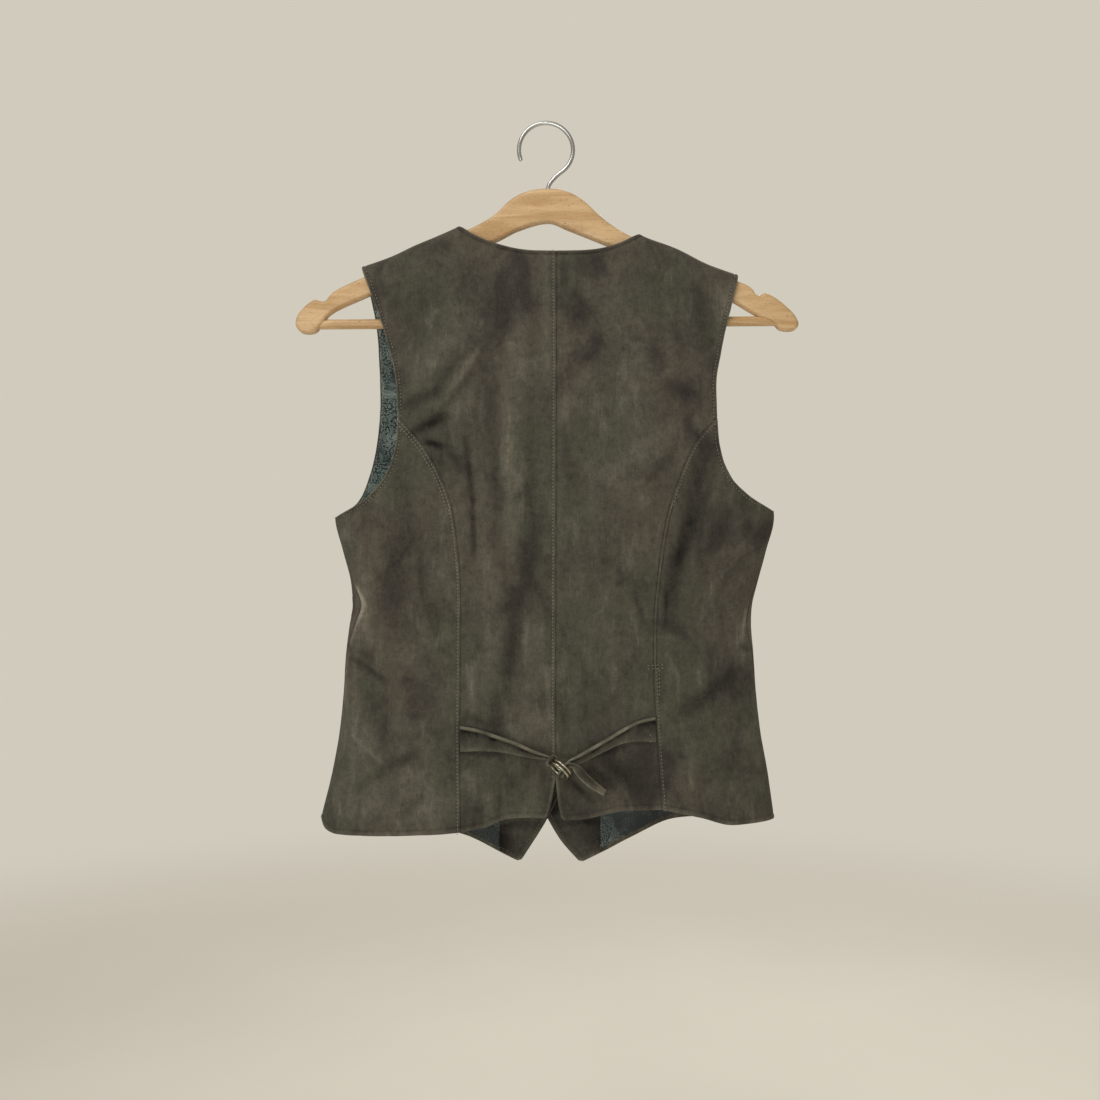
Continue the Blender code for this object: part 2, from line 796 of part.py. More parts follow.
def ribbon(name, rows, count, finish, group):
    """A flat tie between two edges that stand off the back."""
    edges = []
    for x, drop, out in (
        (rows.x_up, rows.drop_up, rows.out_up),
        (rows.x_low, rows.drop_low, rows.out_low),
    ):
        edges.append(surface(-1, x, drop) - np.outer(out, (0, 1, 0)))
    middle = np.mean(edges, axis=0)
    run = np.concatenate([[0], np.cumsum(np.linalg.norm(np.diff(middle, axis=0), axis=1))])
    at = np.linspace(0, run[-1], count + 1)
    upper, lower = (
        np.stack([smooth(run, edge[:, k], at) for k in range(3)], axis=1) for edge in edges
    )
    f = np.linspace(0, 1, TIE_COLUMNS + 1)[None, :, None]
    grid = (1 - f) * upper[:, None] + f * lower[:, None]
    along = np.gradient(grid, axis=0)
    across = np.gradient(grid, axis=1)
    face = np.cross(along, across)
    face /= np.linalg.norm(face, axis=-1, keepdims=True)
    return wall(name, grid + face * LEATHER / 2, grid - face * LEATHER / 2, finish, group)


def ring_frame():
    """The rings' centre, and their unit vectors: along their slant, across it, and their axis."""
    slant = Vector((math.cos(RING_SLANT), 0, -math.sin(RING_SLANT)))
    across = Vector((math.sin(RING_SLANT), 0, math.cos(RING_SLANT)))
    rise = Vector((0, -math.cos(RING_TILT), 0)) + across * math.sin(RING_TILT)
    centre = Vector((RING_CENTRE[0], RING_CENTRE[2], -RING_CENTRE[1]))
    return centre, slant, rise, slant.cross(rise)


def cinch_rings(metal, group):
    centre, slant, rise, axis = ring_frame()
    for number, shift in enumerate((-0.5, 0.5), start=1):
        bpy.ops.mesh.primitive_torus_add(
            major_radius=RING_RADIUS * MM,
            minor_radius=RING_WIRE * MM,
            major_segments=24,
            minor_segments=6,
        )
        made = bpy.context.object
        made.name = made.data.name = f"cinch_ring_{number}"
        turn = Matrix((slant, rise, axis)).transposed().to_4x4()
        made.matrix_world = Matrix.Translation((centre + axis * RING_SPACING * shift) * MM) @ turn
        made.data.materials.append(metal)
        made.data.shade_smooth()
        move_to(made, group)


def tie_loop(suede, group):
    """The leather loop at the left tie's end that holds the rings' upper-left side."""
    centre, slant, rise, axis = ring_frame()
    centre = centre - slant * (RING_RADIUS + LOOP_SHIFT)
    angles = np.linspace(0, 2 * math.pi, LOOP_SIDES, endpoint=False)
    bm = bmesh.new()
    rings = []
    for shift in (-0.5, 0.5):
        ring = []
        for angle in angles:
            spot = centre + rise * LOOP_WIDTH * shift
            spot += axis * LOOP_HALF_LONG * math.cos(angle) + slant * LOOP_HALF_SHORT * math.sin(angle)
            ring.append(bm.verts.new(spot * MM))
        rings.append(ring)
    for i in range(LOOP_SIDES):
        j = (i + 1) % LOOP_SIDES
        bm.faces.new((rings[0][i], rings[0][j], rings[1][j], rings[1][i]))
    bmesh.ops.recalc_face_normals(bm, faces=bm.faces)
    mesh = bpy.data.meshes.new("tie_loop")
    bm.to_mesh(mesh)
    bm.free()
    made = add("tie_loop", mesh, suede, group)
    thick = made.modifiers.new("wall", "SOLIDIFY")
    thick.thickness = LOOP_WALL * MM
    thick.offset = 0
    mesh.shade_smooth()
    return made


def placed(spot, axis):
    """The matrix that stands a shape's Z axis along this axis, at this spot in millimetres."""
    return Matrix.Translation(spot * MM) @ axis.to_track_quat("Z", "Y").to_matrix().to_4x4()


def buttons(horn, group):
    """Four plain buttons down the closing, each a hair off the right front."""
    for number, drop in enumerate(BUTTON_DROPS, start=1):
        spot = np.array([CLOSING_X])
        base = surface(1, spot, np.array([drop]))[0]
        normal = Vector(normals(1, spot, np.array([drop]))[0])
        lift = LAP_STEP + LAYER_GAP + BUTTON_THICKNESS / 2
        bpy.ops.mesh.primitive_cylinder_add(
            vertices=16, radius=BUTTON_RADIUS * MM, depth=BUTTON_THICKNESS * MM
        )
        made = bpy.context.object
        made.name = made.data.name = f"button_{number}"
        made.matrix_world = placed(Vector(base) + normal * lift, normal)
        rim = made.modifiers.new("rim", "BEVEL")
        rim.width = BUTTON_RIM * MM
        rim.segments = 1
        rim.angle_limit = math.radians(40)
        rim.limit_method = "ANGLE"
        made.data.materials.append(horn)
        shade_round(made.data)
        move_to(made, group)


def bar_rod(name, radius, past_ends, group, finish=None):
    """A rod along the trouser bar's line, lengthened at both ends."""
    a, b = (Vector((x, 0, -drop)) for x, drop in BAR_ENDS)
    run = (b - a).normalized()
    bpy.ops.mesh.primitive_cylinder_add(
        vertices=20, radius=radius * MM, depth=((b - a).length + 2 * past_ends) * MM
    )
    made = bpy.context.object
    made.name = made.data.name = name
    made.matrix_world = placed((a + b) / 2, run)
    if finish:
        made.data.materials.append(finish)
        shade_round(made.data)
    move_to(made, group)
    return made


def hanger_body(wood, group, cutters):
    """Both arms in one piece of wood, with a socket for each end of the bar."""
    outline = list(ARM_TOP) + list(ARM_BOTTOM)
    curve = bpy.data.curves.new("arm_outline", "CURVE")
    curve.dimensions = "2D"
    curve.fill_mode = "BOTH"
    curve.extrude = (ARM_THICKNESS / 2 - ARM_ROUNDING) * MM
    curve.bevel_depth = ARM_ROUNDING * MM
    curve.bevel_resolution = 1
    curve.offset = -ARM_ROUNDING * MM
    spline = curve.splines.new("POLY")
    spline.points.add(len(outline) - 1)
    spline.use_cyclic_u = True
    for spot, (x, drop) in zip(spline.points, outline):
        spot.co = (x * MM, -drop * MM, 0, 1)
    drawn = bpy.data.objects.new("arm_outline", curve)
    group.objects.link(drawn)
    drawn.rotation_euler = (math.radians(90), 0, 0)
    bpy.context.view_layer.update()
    graph = bpy.context.evaluated_depsgraph_get()
    mesh = bpy.data.meshes.new_from_object(drawn.evaluated_get(graph))
    bm = bmesh.new()
    bm.from_mesh(mesh)
    bmesh.ops.remove_doubles(bm, verts=bm.verts, dist=WELD * MM)
    bmesh.ops.recalc_face_normals(bm, faces=bm.faces)
    bm.to_mesh(mesh)
    bm.free()
    mesh.name = "hanger_body"
    mesh.materials.clear()
    made = add("hanger_body", mesh, wood, group)
    made.matrix_world = drawn.matrix_world
    bpy.data.objects.remove(drawn)
    shade_round(mesh)
    socket = bar_rod("bar_socket", BAR_RADIUS + SEAM_GAP, SEAM_GAP, cutters)
    socket.hide_render = True
    socket.display_type = "WIRE"
    cut = made.modifiers.new("sockets", "BOOLEAN")
    cut.operation = "DIFFERENCE"
    cut.object = socket
    return made


def hanger_hook(metal, group):
    """A wire hook: a stem out of the wood, and an arc to the right and over the rail to the left."""
    radius = HOOK_RADIUS + HOOK_WIRE
    centre = Vector((0, -HOOK_RADIUS))
    path = [Vector((HOOK_STEM_X, -drop)) for drop in HOOK_STEM_DROPS]
    for degrees in HOOK_ARC:
        angle = math.radians(degrees)
        path.append(centre + radius * Vector((math.cos(angle), math.sin(angle))))
    curve = bpy.data.curves.new("hanger_hook", "CURVE")
    curve.dimensions = "3D"
    curve.bevel_depth = HOOK_WIRE * MM
    curve.bevel_resolution = 1
    curve.use_fill_caps = True
    spline = curve.splines.new("POLY")
    spline.points.add(len(path) - 1)
    for spot, p in zip(spline.points, path):
        spot.co = (p.x * MM, 0, p.y * MM, 1)
    spline.use_smooth = True
    made = bpy.data.objects.new("hanger_hook", curve)
    curve.materials.append(metal)
    group.objects.link(made)
    return made


def build():
    clear_scene()
    vest = collection("suede_vest")
    hanger = collection("hanger")
    cutters = collection("cutters")
    suede = material("suede", (0.075, 0.067, 0.048), 0.92)
    facing = material("facing_suede", (0.058, 0.052, 0.038), 0.92)
    lining = material("printed_lining", (0.062, 0.074, 0.068), 0.6)
    brass = material("cinch_metal", (0.72, 0.66, 0.50), 0.25, 1.0)
    steel = material("hook_steel", (0.62, 0.62, 0.62), 0.3, 1.0)
    horn = material("dark_horn", (0.03, 0.022, 0.016), 0.35)
    beech = material("beech", (0.50, 0.33, 0.17), 0.45)
    back_panels(suede, vest)
    front_panels(suede, lining, facing, vest)
    ribbon("tie_left", TIE_LEFT, TIE_ROWS_LEFT, suede, vest)
    ribbon("tie_right", TIE_RIGHT, TIE_ROWS_RIGHT, suede, vest)
    tie_loop(suede, vest)
    cinch_rings(brass, vest)
    buttons(horn, vest)
    hanger_body(beech, hanger, cutters)
    bar_rod("hanger_bar", BAR_RADIUS, 0, hanger, beech)
    hanger_hook(steel, hanger)


build()
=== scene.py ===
"""The looks of a fitted suede vest that hangs, back to the front, on a wooden hanger.

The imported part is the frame: its origin is the inside top of the hanger's hook, +Z is up, -Y is
the vest's back and +X is its wearer's right. Tables are in millimetres, and "drop" is the distance
below the origin. The tables of the garment's surface and of its cutting lines are the part's own.
"""

import math
from collections import namedtuple
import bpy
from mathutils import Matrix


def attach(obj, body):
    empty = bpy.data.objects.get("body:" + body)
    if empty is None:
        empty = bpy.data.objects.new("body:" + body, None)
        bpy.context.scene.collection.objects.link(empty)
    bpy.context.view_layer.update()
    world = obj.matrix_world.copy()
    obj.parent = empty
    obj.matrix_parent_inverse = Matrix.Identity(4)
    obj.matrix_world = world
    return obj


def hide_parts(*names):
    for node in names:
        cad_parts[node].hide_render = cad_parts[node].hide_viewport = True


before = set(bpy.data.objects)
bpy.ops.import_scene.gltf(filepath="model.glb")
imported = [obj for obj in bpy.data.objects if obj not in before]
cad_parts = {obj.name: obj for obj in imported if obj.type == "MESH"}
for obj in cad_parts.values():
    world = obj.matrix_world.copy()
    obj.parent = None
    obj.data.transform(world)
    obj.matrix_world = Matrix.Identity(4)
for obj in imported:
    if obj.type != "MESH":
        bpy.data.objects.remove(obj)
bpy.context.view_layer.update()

from types import SimpleNamespace

import bmesh
import bpy
import numpy as np
from mathutils import Vector

MM = 0.001
OUT = np.array((0.0, 1.0, 0.0))
BACK, FRONT, INSIDE = -1, 1, 2
HANDS = "left", "right"
RIMS = "left", "right", "top", "bottom"

# Walls and gaps
LEATHER = 1.6
FACING = 1.2
LINING = 1.0
SEAM_GAP = 0.3
LAYER_GAP = 0.3
ARMHOLE_MARGIN = 1.0
HEM_MARGIN = 4.0
EDGE_MARGIN = 0.8

# The garment's surface
SHOULDER_ROLL = 10.8
ROLL_REACH = 90.0
DEPTH_REACH = 130.0
SIDE_FULLNESS = 2.6
FOLD_REACH = 40.0
FOLD_SPREAD = 0.6
FOLD_TAPER = 0.25
SLOPE_STEP = 0.15

# The closing, the buttons, the hanger and the rings
CLOSING_X = 2.0
LAP_STEP = 3.6
LAP_REACH = (18.0, 40.0)
BUTTON_DROPS = (348.0, 428.0, 508.0, 588.0)
BUTTON_THICKNESS = 3.0
BUTTON_HOLE = 0.95
HOLE_CIRCLE = 2.0
DRILL_DEPTH = 12
AXIS_WELD = 1e-4
TACK_SPAN = 2.84
TACK_THICKNESS = 0.42
TACK_RISE = (0.35, 0.55)
ARM_THICKNESS = 12.0
ARM_ROUNDING = 3.4
ARM_SMOOTHING = 3
BAR_RADIUS = 4.5
BAR_ENDS = ((-218.0, 183.7), (221.0, 180.4))
HOOK_WIRE = 1.9
HOOK_RADIUS = 23.0
HOOK_TIP_ANGLES = (0.4, 0.8, 1.15, 1.4)
# The hook's arc as first angle, last angle and step in degrees, and its straight stem as its x,
# and its first drop, last drop and number of points
HOOK_ARC = (-64, 200.1, 4)
HOOK_STEM_X = 2.0
HOOK_STEM_DROPS = (60.3, 54.0, 4)
HOOK_SMOOTHING = 2
RING_RADIUS = 10.0
RING_WIRE = 1.1
RING_SPACING = 3.4
RING_CENTRE = (12.7, 584.2, -44.8)
RING_SLANT = math.radians(42)
RING_TILT = math.radians(22)
LOOP_HALF_LONG = 5.2
LOOP_HALF_SHORT = 3.3
LOOP_WIDTH = 6.0
LOOP_WALL = 1.3
LOOP_SHIFT = 0.4
LOOP_WEAR = 0.25


def table(columns, *rows):
    """Rows of numbers under named columns, as a named tuple of arrays."""
    return namedtuple("Table", columns.split())(*np.array(rows, float).T)


def profile(*rows):
    """How far the cloth rises, and how much lighter or darker it is, at distances in from an edge:
    lighter where rubbed and with painted highlights on rolled edges, darker with painted shade in
    grooves.
    """
    return table("away height wear", *rows)


def bells(back, front=(), inside=()):
    """Short lines on the cloth, with bell-shaped sections: folds, creases, or patches of nap tone with
    painted light and shade.
    """
    sides = zip((BACK, FRONT, INSIDE), (back, front, inside))
    rows = [(side, *one) for side, given in sides for one in given]
    return table("side x0 drop0 x1 drop1 width height", *rows)


# The sides of the section, seen from behind. Above the underarm they lie outside the armholes.
# wrap is how far the front's edge rolls round onto the back before it meets the side seam.
SIDES = table(
    "drop left right wrap_left wrap_right",
    (60, -170, 178, 0.6, 0.6), (140, -176, 184, 0.6, 0.6), (220, -181, 192, 0.6, 0.6),
    (300, -187, 201, 0.6, 0.6), (345, -192, 208, 0.6, 0.6), (361, -193.6, 209.5, 0.6, 0.6),
    (391, -186.7, 202.4, 0.8, 0.8), (420, -179.4, 194.6, 2.2, 1.4), (442, -178, 189.4, 9, 3.5),
    (458, -180.3, 188.6, 5.5, 4.5), (483, -183.5, 190.4, 1.6, 1.8), (520, -185.8, 192.8, 0.6, 0.6),
    (557, -189.5, 196.9, 0.6, 0.6), (593, -195.9, 203.3, 0.6, 0.6), (639, -207, 209.8, 0.6, 0.6),
    (720, -222, 222, 0.6, 0.6),
)

# How deep the back and the front stand from the side seams' plane, down the middle of the garment
DEPTHS = table(
    "drop back front",
    (60, 12, 12), (110, 15, 14), (170, 23, 22), (240, 31, 32), (300, 34, 38), (360, 34, 39),
    (428, 29, 33), (460, 27, 30), (500, 28, 31), (560, 31, 33), (600, 34, 34), (650, 37, 34),
    (720, 39, 35),
)

# The crest of the cloth over the hanger's arms, and across the neck between them
CREST = table(
    "x drop",
    (-230, 166), (-169.1, 131.6), (-140.7, 121), (-119.6, 111), (-99.7, 102.7), (-80, 94), (-40, 76),
    (3, 66), (46, 78), (86, 101.3), (121.1, 114.8), (147, 127.9), (176.2, 138.9), (240, 172),
)

# Drag folds and waves. Each is x and drop of both ends, its width, and its height, which is plus
# for a ridge and minus for a trough.
FOLDS = bells(
    back=(
        (-122, 284, -84, 250, 8, 2.6), (-84, 250, -58, 200, 8, 2.4), (-122, 262, -78, 214, 7, -2.2),
        (-120, 288, -86, 272, 5, -2.4), (-66, 322, -63, 388, 6, -1.4), (-26, 400, -28, 545, 12, -2.2),
        (-66, 478, -68, 545, 8, 1.4), (-2, 410, -4, 530, 7, 1.2), (139, 305, 117, 434, 8, -2.8),
        (158, 330, 148, 400, 9, 1.6), (178, 498, 122, 538, 8, -2.4), (170, 518, 128, 556, 8, 1.6),
        (60, 400, 48, 500, 14, -1.6), (-179, 487, -148, 510, 7, -2.2), (-176, 557, -144, 583, 6, 1.6),
        (-146, 572, -124, 588, 9, -1.8), (-108, 604, -138, 636, 7, -2.2), (-100, 585, -92, 660, 20, 3.5),
        (-40, 596, -40, 650, 9, -3.2), (60, 590, 66, 650, 16, -2.4), (128, 580, 134, 650, 16, 2.4),
        (100, 450, 150, 442, 8, -1.6), (-150, 420, -110, 428, 8, -1.6),
    ),
    front=(
        (-120, 300, -70, 350, 14, 2.6), (-150, 380, -86, 400, 9, -2), (128, 296, 78, 344, 14, 2.6),
        (160, 372, 96, 396, 9, -2), (-96, 420, -100, 640, 16, 2.4), (104, 430, 108, 640, 16, 2.4),
        (-150, 470, -110, 520, 9, -2), (158, 476, 118, 524, 9, -2), (-152, 590, -148, 650, 14, -2.4),
        (158, 590, 154, 650, 14, -2.4),
    ),
)

# The seam and edge lines of each hand's panels, each line as x and drop
CENTRE_SEAM = ((9.3, 118.8), (9.6, 202), (9.2, 364), (8.6, 594))
LINES = {
    "left": SimpleNamespace(
        shoulder=((-169.1, 131.6), (-140.7, 121), (-119.6, 111), (-99.7, 102.7), (-80, 94)),
        neck=((-80, 94), (-64, 104.3), (-45.8, 111.5), (-22, 117.2), (9.3, 118.8)),
        vent=((8.6, 594), (6.6, 606), (3.4, 620), (0.4, 629.8)),
        armhole=((-169.1, 131.6), (-157.2, 163.3), (-143.4, 203.9), (-135.3, 237.5), (-133.5, 270.8)),
        underarm=((-133.5, 270.8), (-134.3, 289.4), (-141.9, 317.8), (-163.5, 344.6), (-193.6, 361.1)),
        princess=(
            (-133.5, 270.8), (-118.4, 287), (-98.3, 316.8), (-85.5, 348.1), (-79.6, 385), (-76.5, 430),
            (-77, 545), (-75.9, 642.4),
        ),
        hem_centre=((-75.9, 642.4), (-54.2, 638), (-36, 630.9), (-18, 629.4), (0.4, 629.8)),
        hem_side=((-207, 637), (-202.6, 643.4), (-189, 648.2), (-125.6, 646.4), (-75.9, 642.4)),
        front_armhole=(
            (-169.1, 131.6), (-159.7, 168), (-155.2, 210), (-155, 252), (-157.6, 286), (-165, 321),
            (-176, 347), (-193.6, 361.1),
        ),
        facing_line=((-119.6, 111), (-104, 150), (-72, 236), (-47, 330), (-43.8, 430), (-43.8, 676.4)),
        front_edge=(
            (-80, 94), (-62, 150), (-30, 232), (4, 306), (16, 338), (17, 380), (17, 590), (12, 622),
            (0.6, 646), (-13, 668), (-24.7, 685.6),
        ),
        hem_front=((-207, 637), (-165, 645), (-120, 650), (-78.6, 659.4), (-43.8, 676.4)),
        point=((-43.8, 676.4), (-34, 681.2), (-24.7, 685.6)),
    ),
    "right": SimpleNamespace(
        shoulder=((176.2, 138.9), (147, 127.9), (121.1, 114.8), (104, 108.4), (86, 101.3)),
        neck=((86, 101.3), (70.2, 109.8), (57.9, 114.1), (39.8, 117.6), (9.3, 118.8)),
        vent=((8.6, 594), (9.8, 606), (12, 620), (14.4, 631.4)),
        armhole=((176.2, 138.9), (168.5, 171), (159.5, 209.7), (153.9, 243.3), (154.2, 272)),
        underarm=((154.2, 272), (157.1, 297.9), (166, 324), (181, 339.5), (209.5, 355.5)),
        princess=(
            (154.2, 272), (136, 292), (120.9, 323.9), (109.8, 356), (101.8, 402), (96.8, 480),
            (99.2, 550), (104.1, 623.3),
        ),
        hem_centre=((104.1, 623.3), (80, 623.2), (56.8, 626.2), (36, 630.4), (14.4, 631.4)),
        hem_side=((209.6, 637), (196, 637.6), (170, 638.8), (138, 630), (104.1, 623.3)),
        front_armhole=(
            (176.2, 138.9), (166, 172), (158, 212), (155, 252), (160, 286), (173, 321), (188, 342),
            (209.5, 355.5),
        ),
        facing_line=((121.1, 114.8), (108, 152), (80, 236), (56, 330), (51.2, 430), (51.2, 677)),
        front_edge=(
            (86, 101.3), (68, 154), (36, 234), (2, 306), (-12, 338), (-13, 380), (-13, 590), (-9, 622),
            (1.8, 646), (18, 671), (32.6, 687.4),
        ),
        hem_front=((209.6, 637), (165, 640), (122.7, 643.4), (79.4, 662.6), (51.2, 677)),
        point=((51.2, 677), (42, 682), (32.6, 687.4)),
    ),
}

# Ties: the upper and lower edge of each, with how far each edge stands off the back
TIE_LEFT = table(
    "x_up drop_up out_up x_low drop_low out_low",
    (-76.4, 548.4, 1.3, -76.4, 571.6, 1.3), (-60.1, 551.1, 3.6, -60.3, 570.6, 1.8),
    (-43.7, 555.9, 6.6, -46.6, 570.5, 3.4), (-26, 561.7, 9.6, -32, 572, 6.2),
    (-9.7, 568.3, 11.4, -16, 574.6, 9), (3, 572.8, 13.6, 0.2, 575.9, 13.4),
)
TIE_RIGHT = table(
    "x_up drop_up out_up x_low drop_low out_low",
    (97.9, 540.7, 1.3, 98.6, 562.9, 1.3), (83, 543.7, 3.6, 81, 562.2, 1.8),
    (69.1, 549.9, 6.6, 66.6, 564.2, 3.6), (55.4, 557.6, 9.4, 53.4, 569.6, 6.4),
    (41.7, 564.9, 11, 42.2, 574.6, 8.6), (28.3, 572.3, 11.2, 31, 580, 10.4),
    (19.4, 577.4, 10.6, 22.6, 582.4, 10.6), (13.2, 584.4, 10.8, 16.6, 588.6, 10.8),
    (10.6, 588, 13.5, 14.2, 591.8, 13.5), (13.2, 584.4, 15.9, 16.4, 588.4, 15.9),
    (19.6, 577.8, 16.1, 22.6, 582.2, 16.1), (28.4, 580.2, 15.4, 24.8, 586, 15.2),
    (36.2, 587.8, 13.4, 30.6, 593.4, 12.8), (43.6, 595.2, 11, 38.2, 600.4, 10),
    (53.6, 604, 8, 50.6, 608.6, 7),
)

# The hanger's body: its upper edge from the left tip to the right one, and its lower edge back
ARM_TOP = (
    (-224.5, 171), (-217.5, 164.6), (-211.6, 161.4), (-207, 162.8), (-202.4, 162.4), (-198.6, 158),
    (-195.5, 154.9), (-189, 150.8), (-177.5, 145.4), (-166.5, 140.4), (-140.7, 125.8), (-119.6, 115.6),
    (-99.7, 107.4), (-84, 101.6), (-66, 94.6), (-48, 84), (-30, 68), (-12, 60.6), (14, 60.6), (32, 68.6),
    (52, 86.6), (70, 99), (90, 108.6), (121.1, 119.6), (147, 132.6), (176.7, 144.8), (184, 147.8),
    (189.6, 152), (192.6, 156.4), (196.2, 157.6), (200.6, 155.2), (206.1, 157.2), (213, 161.4),
    (221, 168), (229, 176.6),
)
ARM_BOTTOM = (
    (231.6, 184.6), (227.6, 189.2), (215, 188.8), (209, 183.4), (191.7, 174.9), (171.1, 162.8),
    (110, 134), (54, 110.4), (20.3, 96.9), (3, 90.4), (-24.8, 97.2), (-44.8, 107.2), (-100, 130.6),
    (-161.9, 157.3), (-198.3, 174.8), (-206, 184.8), (-212, 191.4), (-224, 191.6), (-229.4, 185),
    (-228.6, 177.4),
)

# Fine creases that only the outer face shows, in the same terms as the folds
CREASES = bells(
    back=(
        (-108, 293.5, -94, 298, 3.4, -0.8), (-71.5, 292.5, -65.2, 346, 3.4, -0.8),
        (-65.2, 346, -64.3, 398, 3.2, -0.8), (-62, 300, -59.5, 396, 4, 0.35),
        (-88, 256, -57, 206, 3.6, 0.5), (-116, 281, -90, 270, 3.6, -0.6), (-112, 276, -92, 262, 4, 0.5),
        (-179, 488, -151, 508, 3.6, -0.6), (-174, 560, -147, 582, 3.6, 0.5),
        (-41, 614, -41, 631, 3.4, -0.6), (178, 498, 123, 537, 4, -0.6), (128, 363, 116, 432, 4, -0.6),
        (-111, 607, -137, 632, 3.8, -0.6),
    ),
)
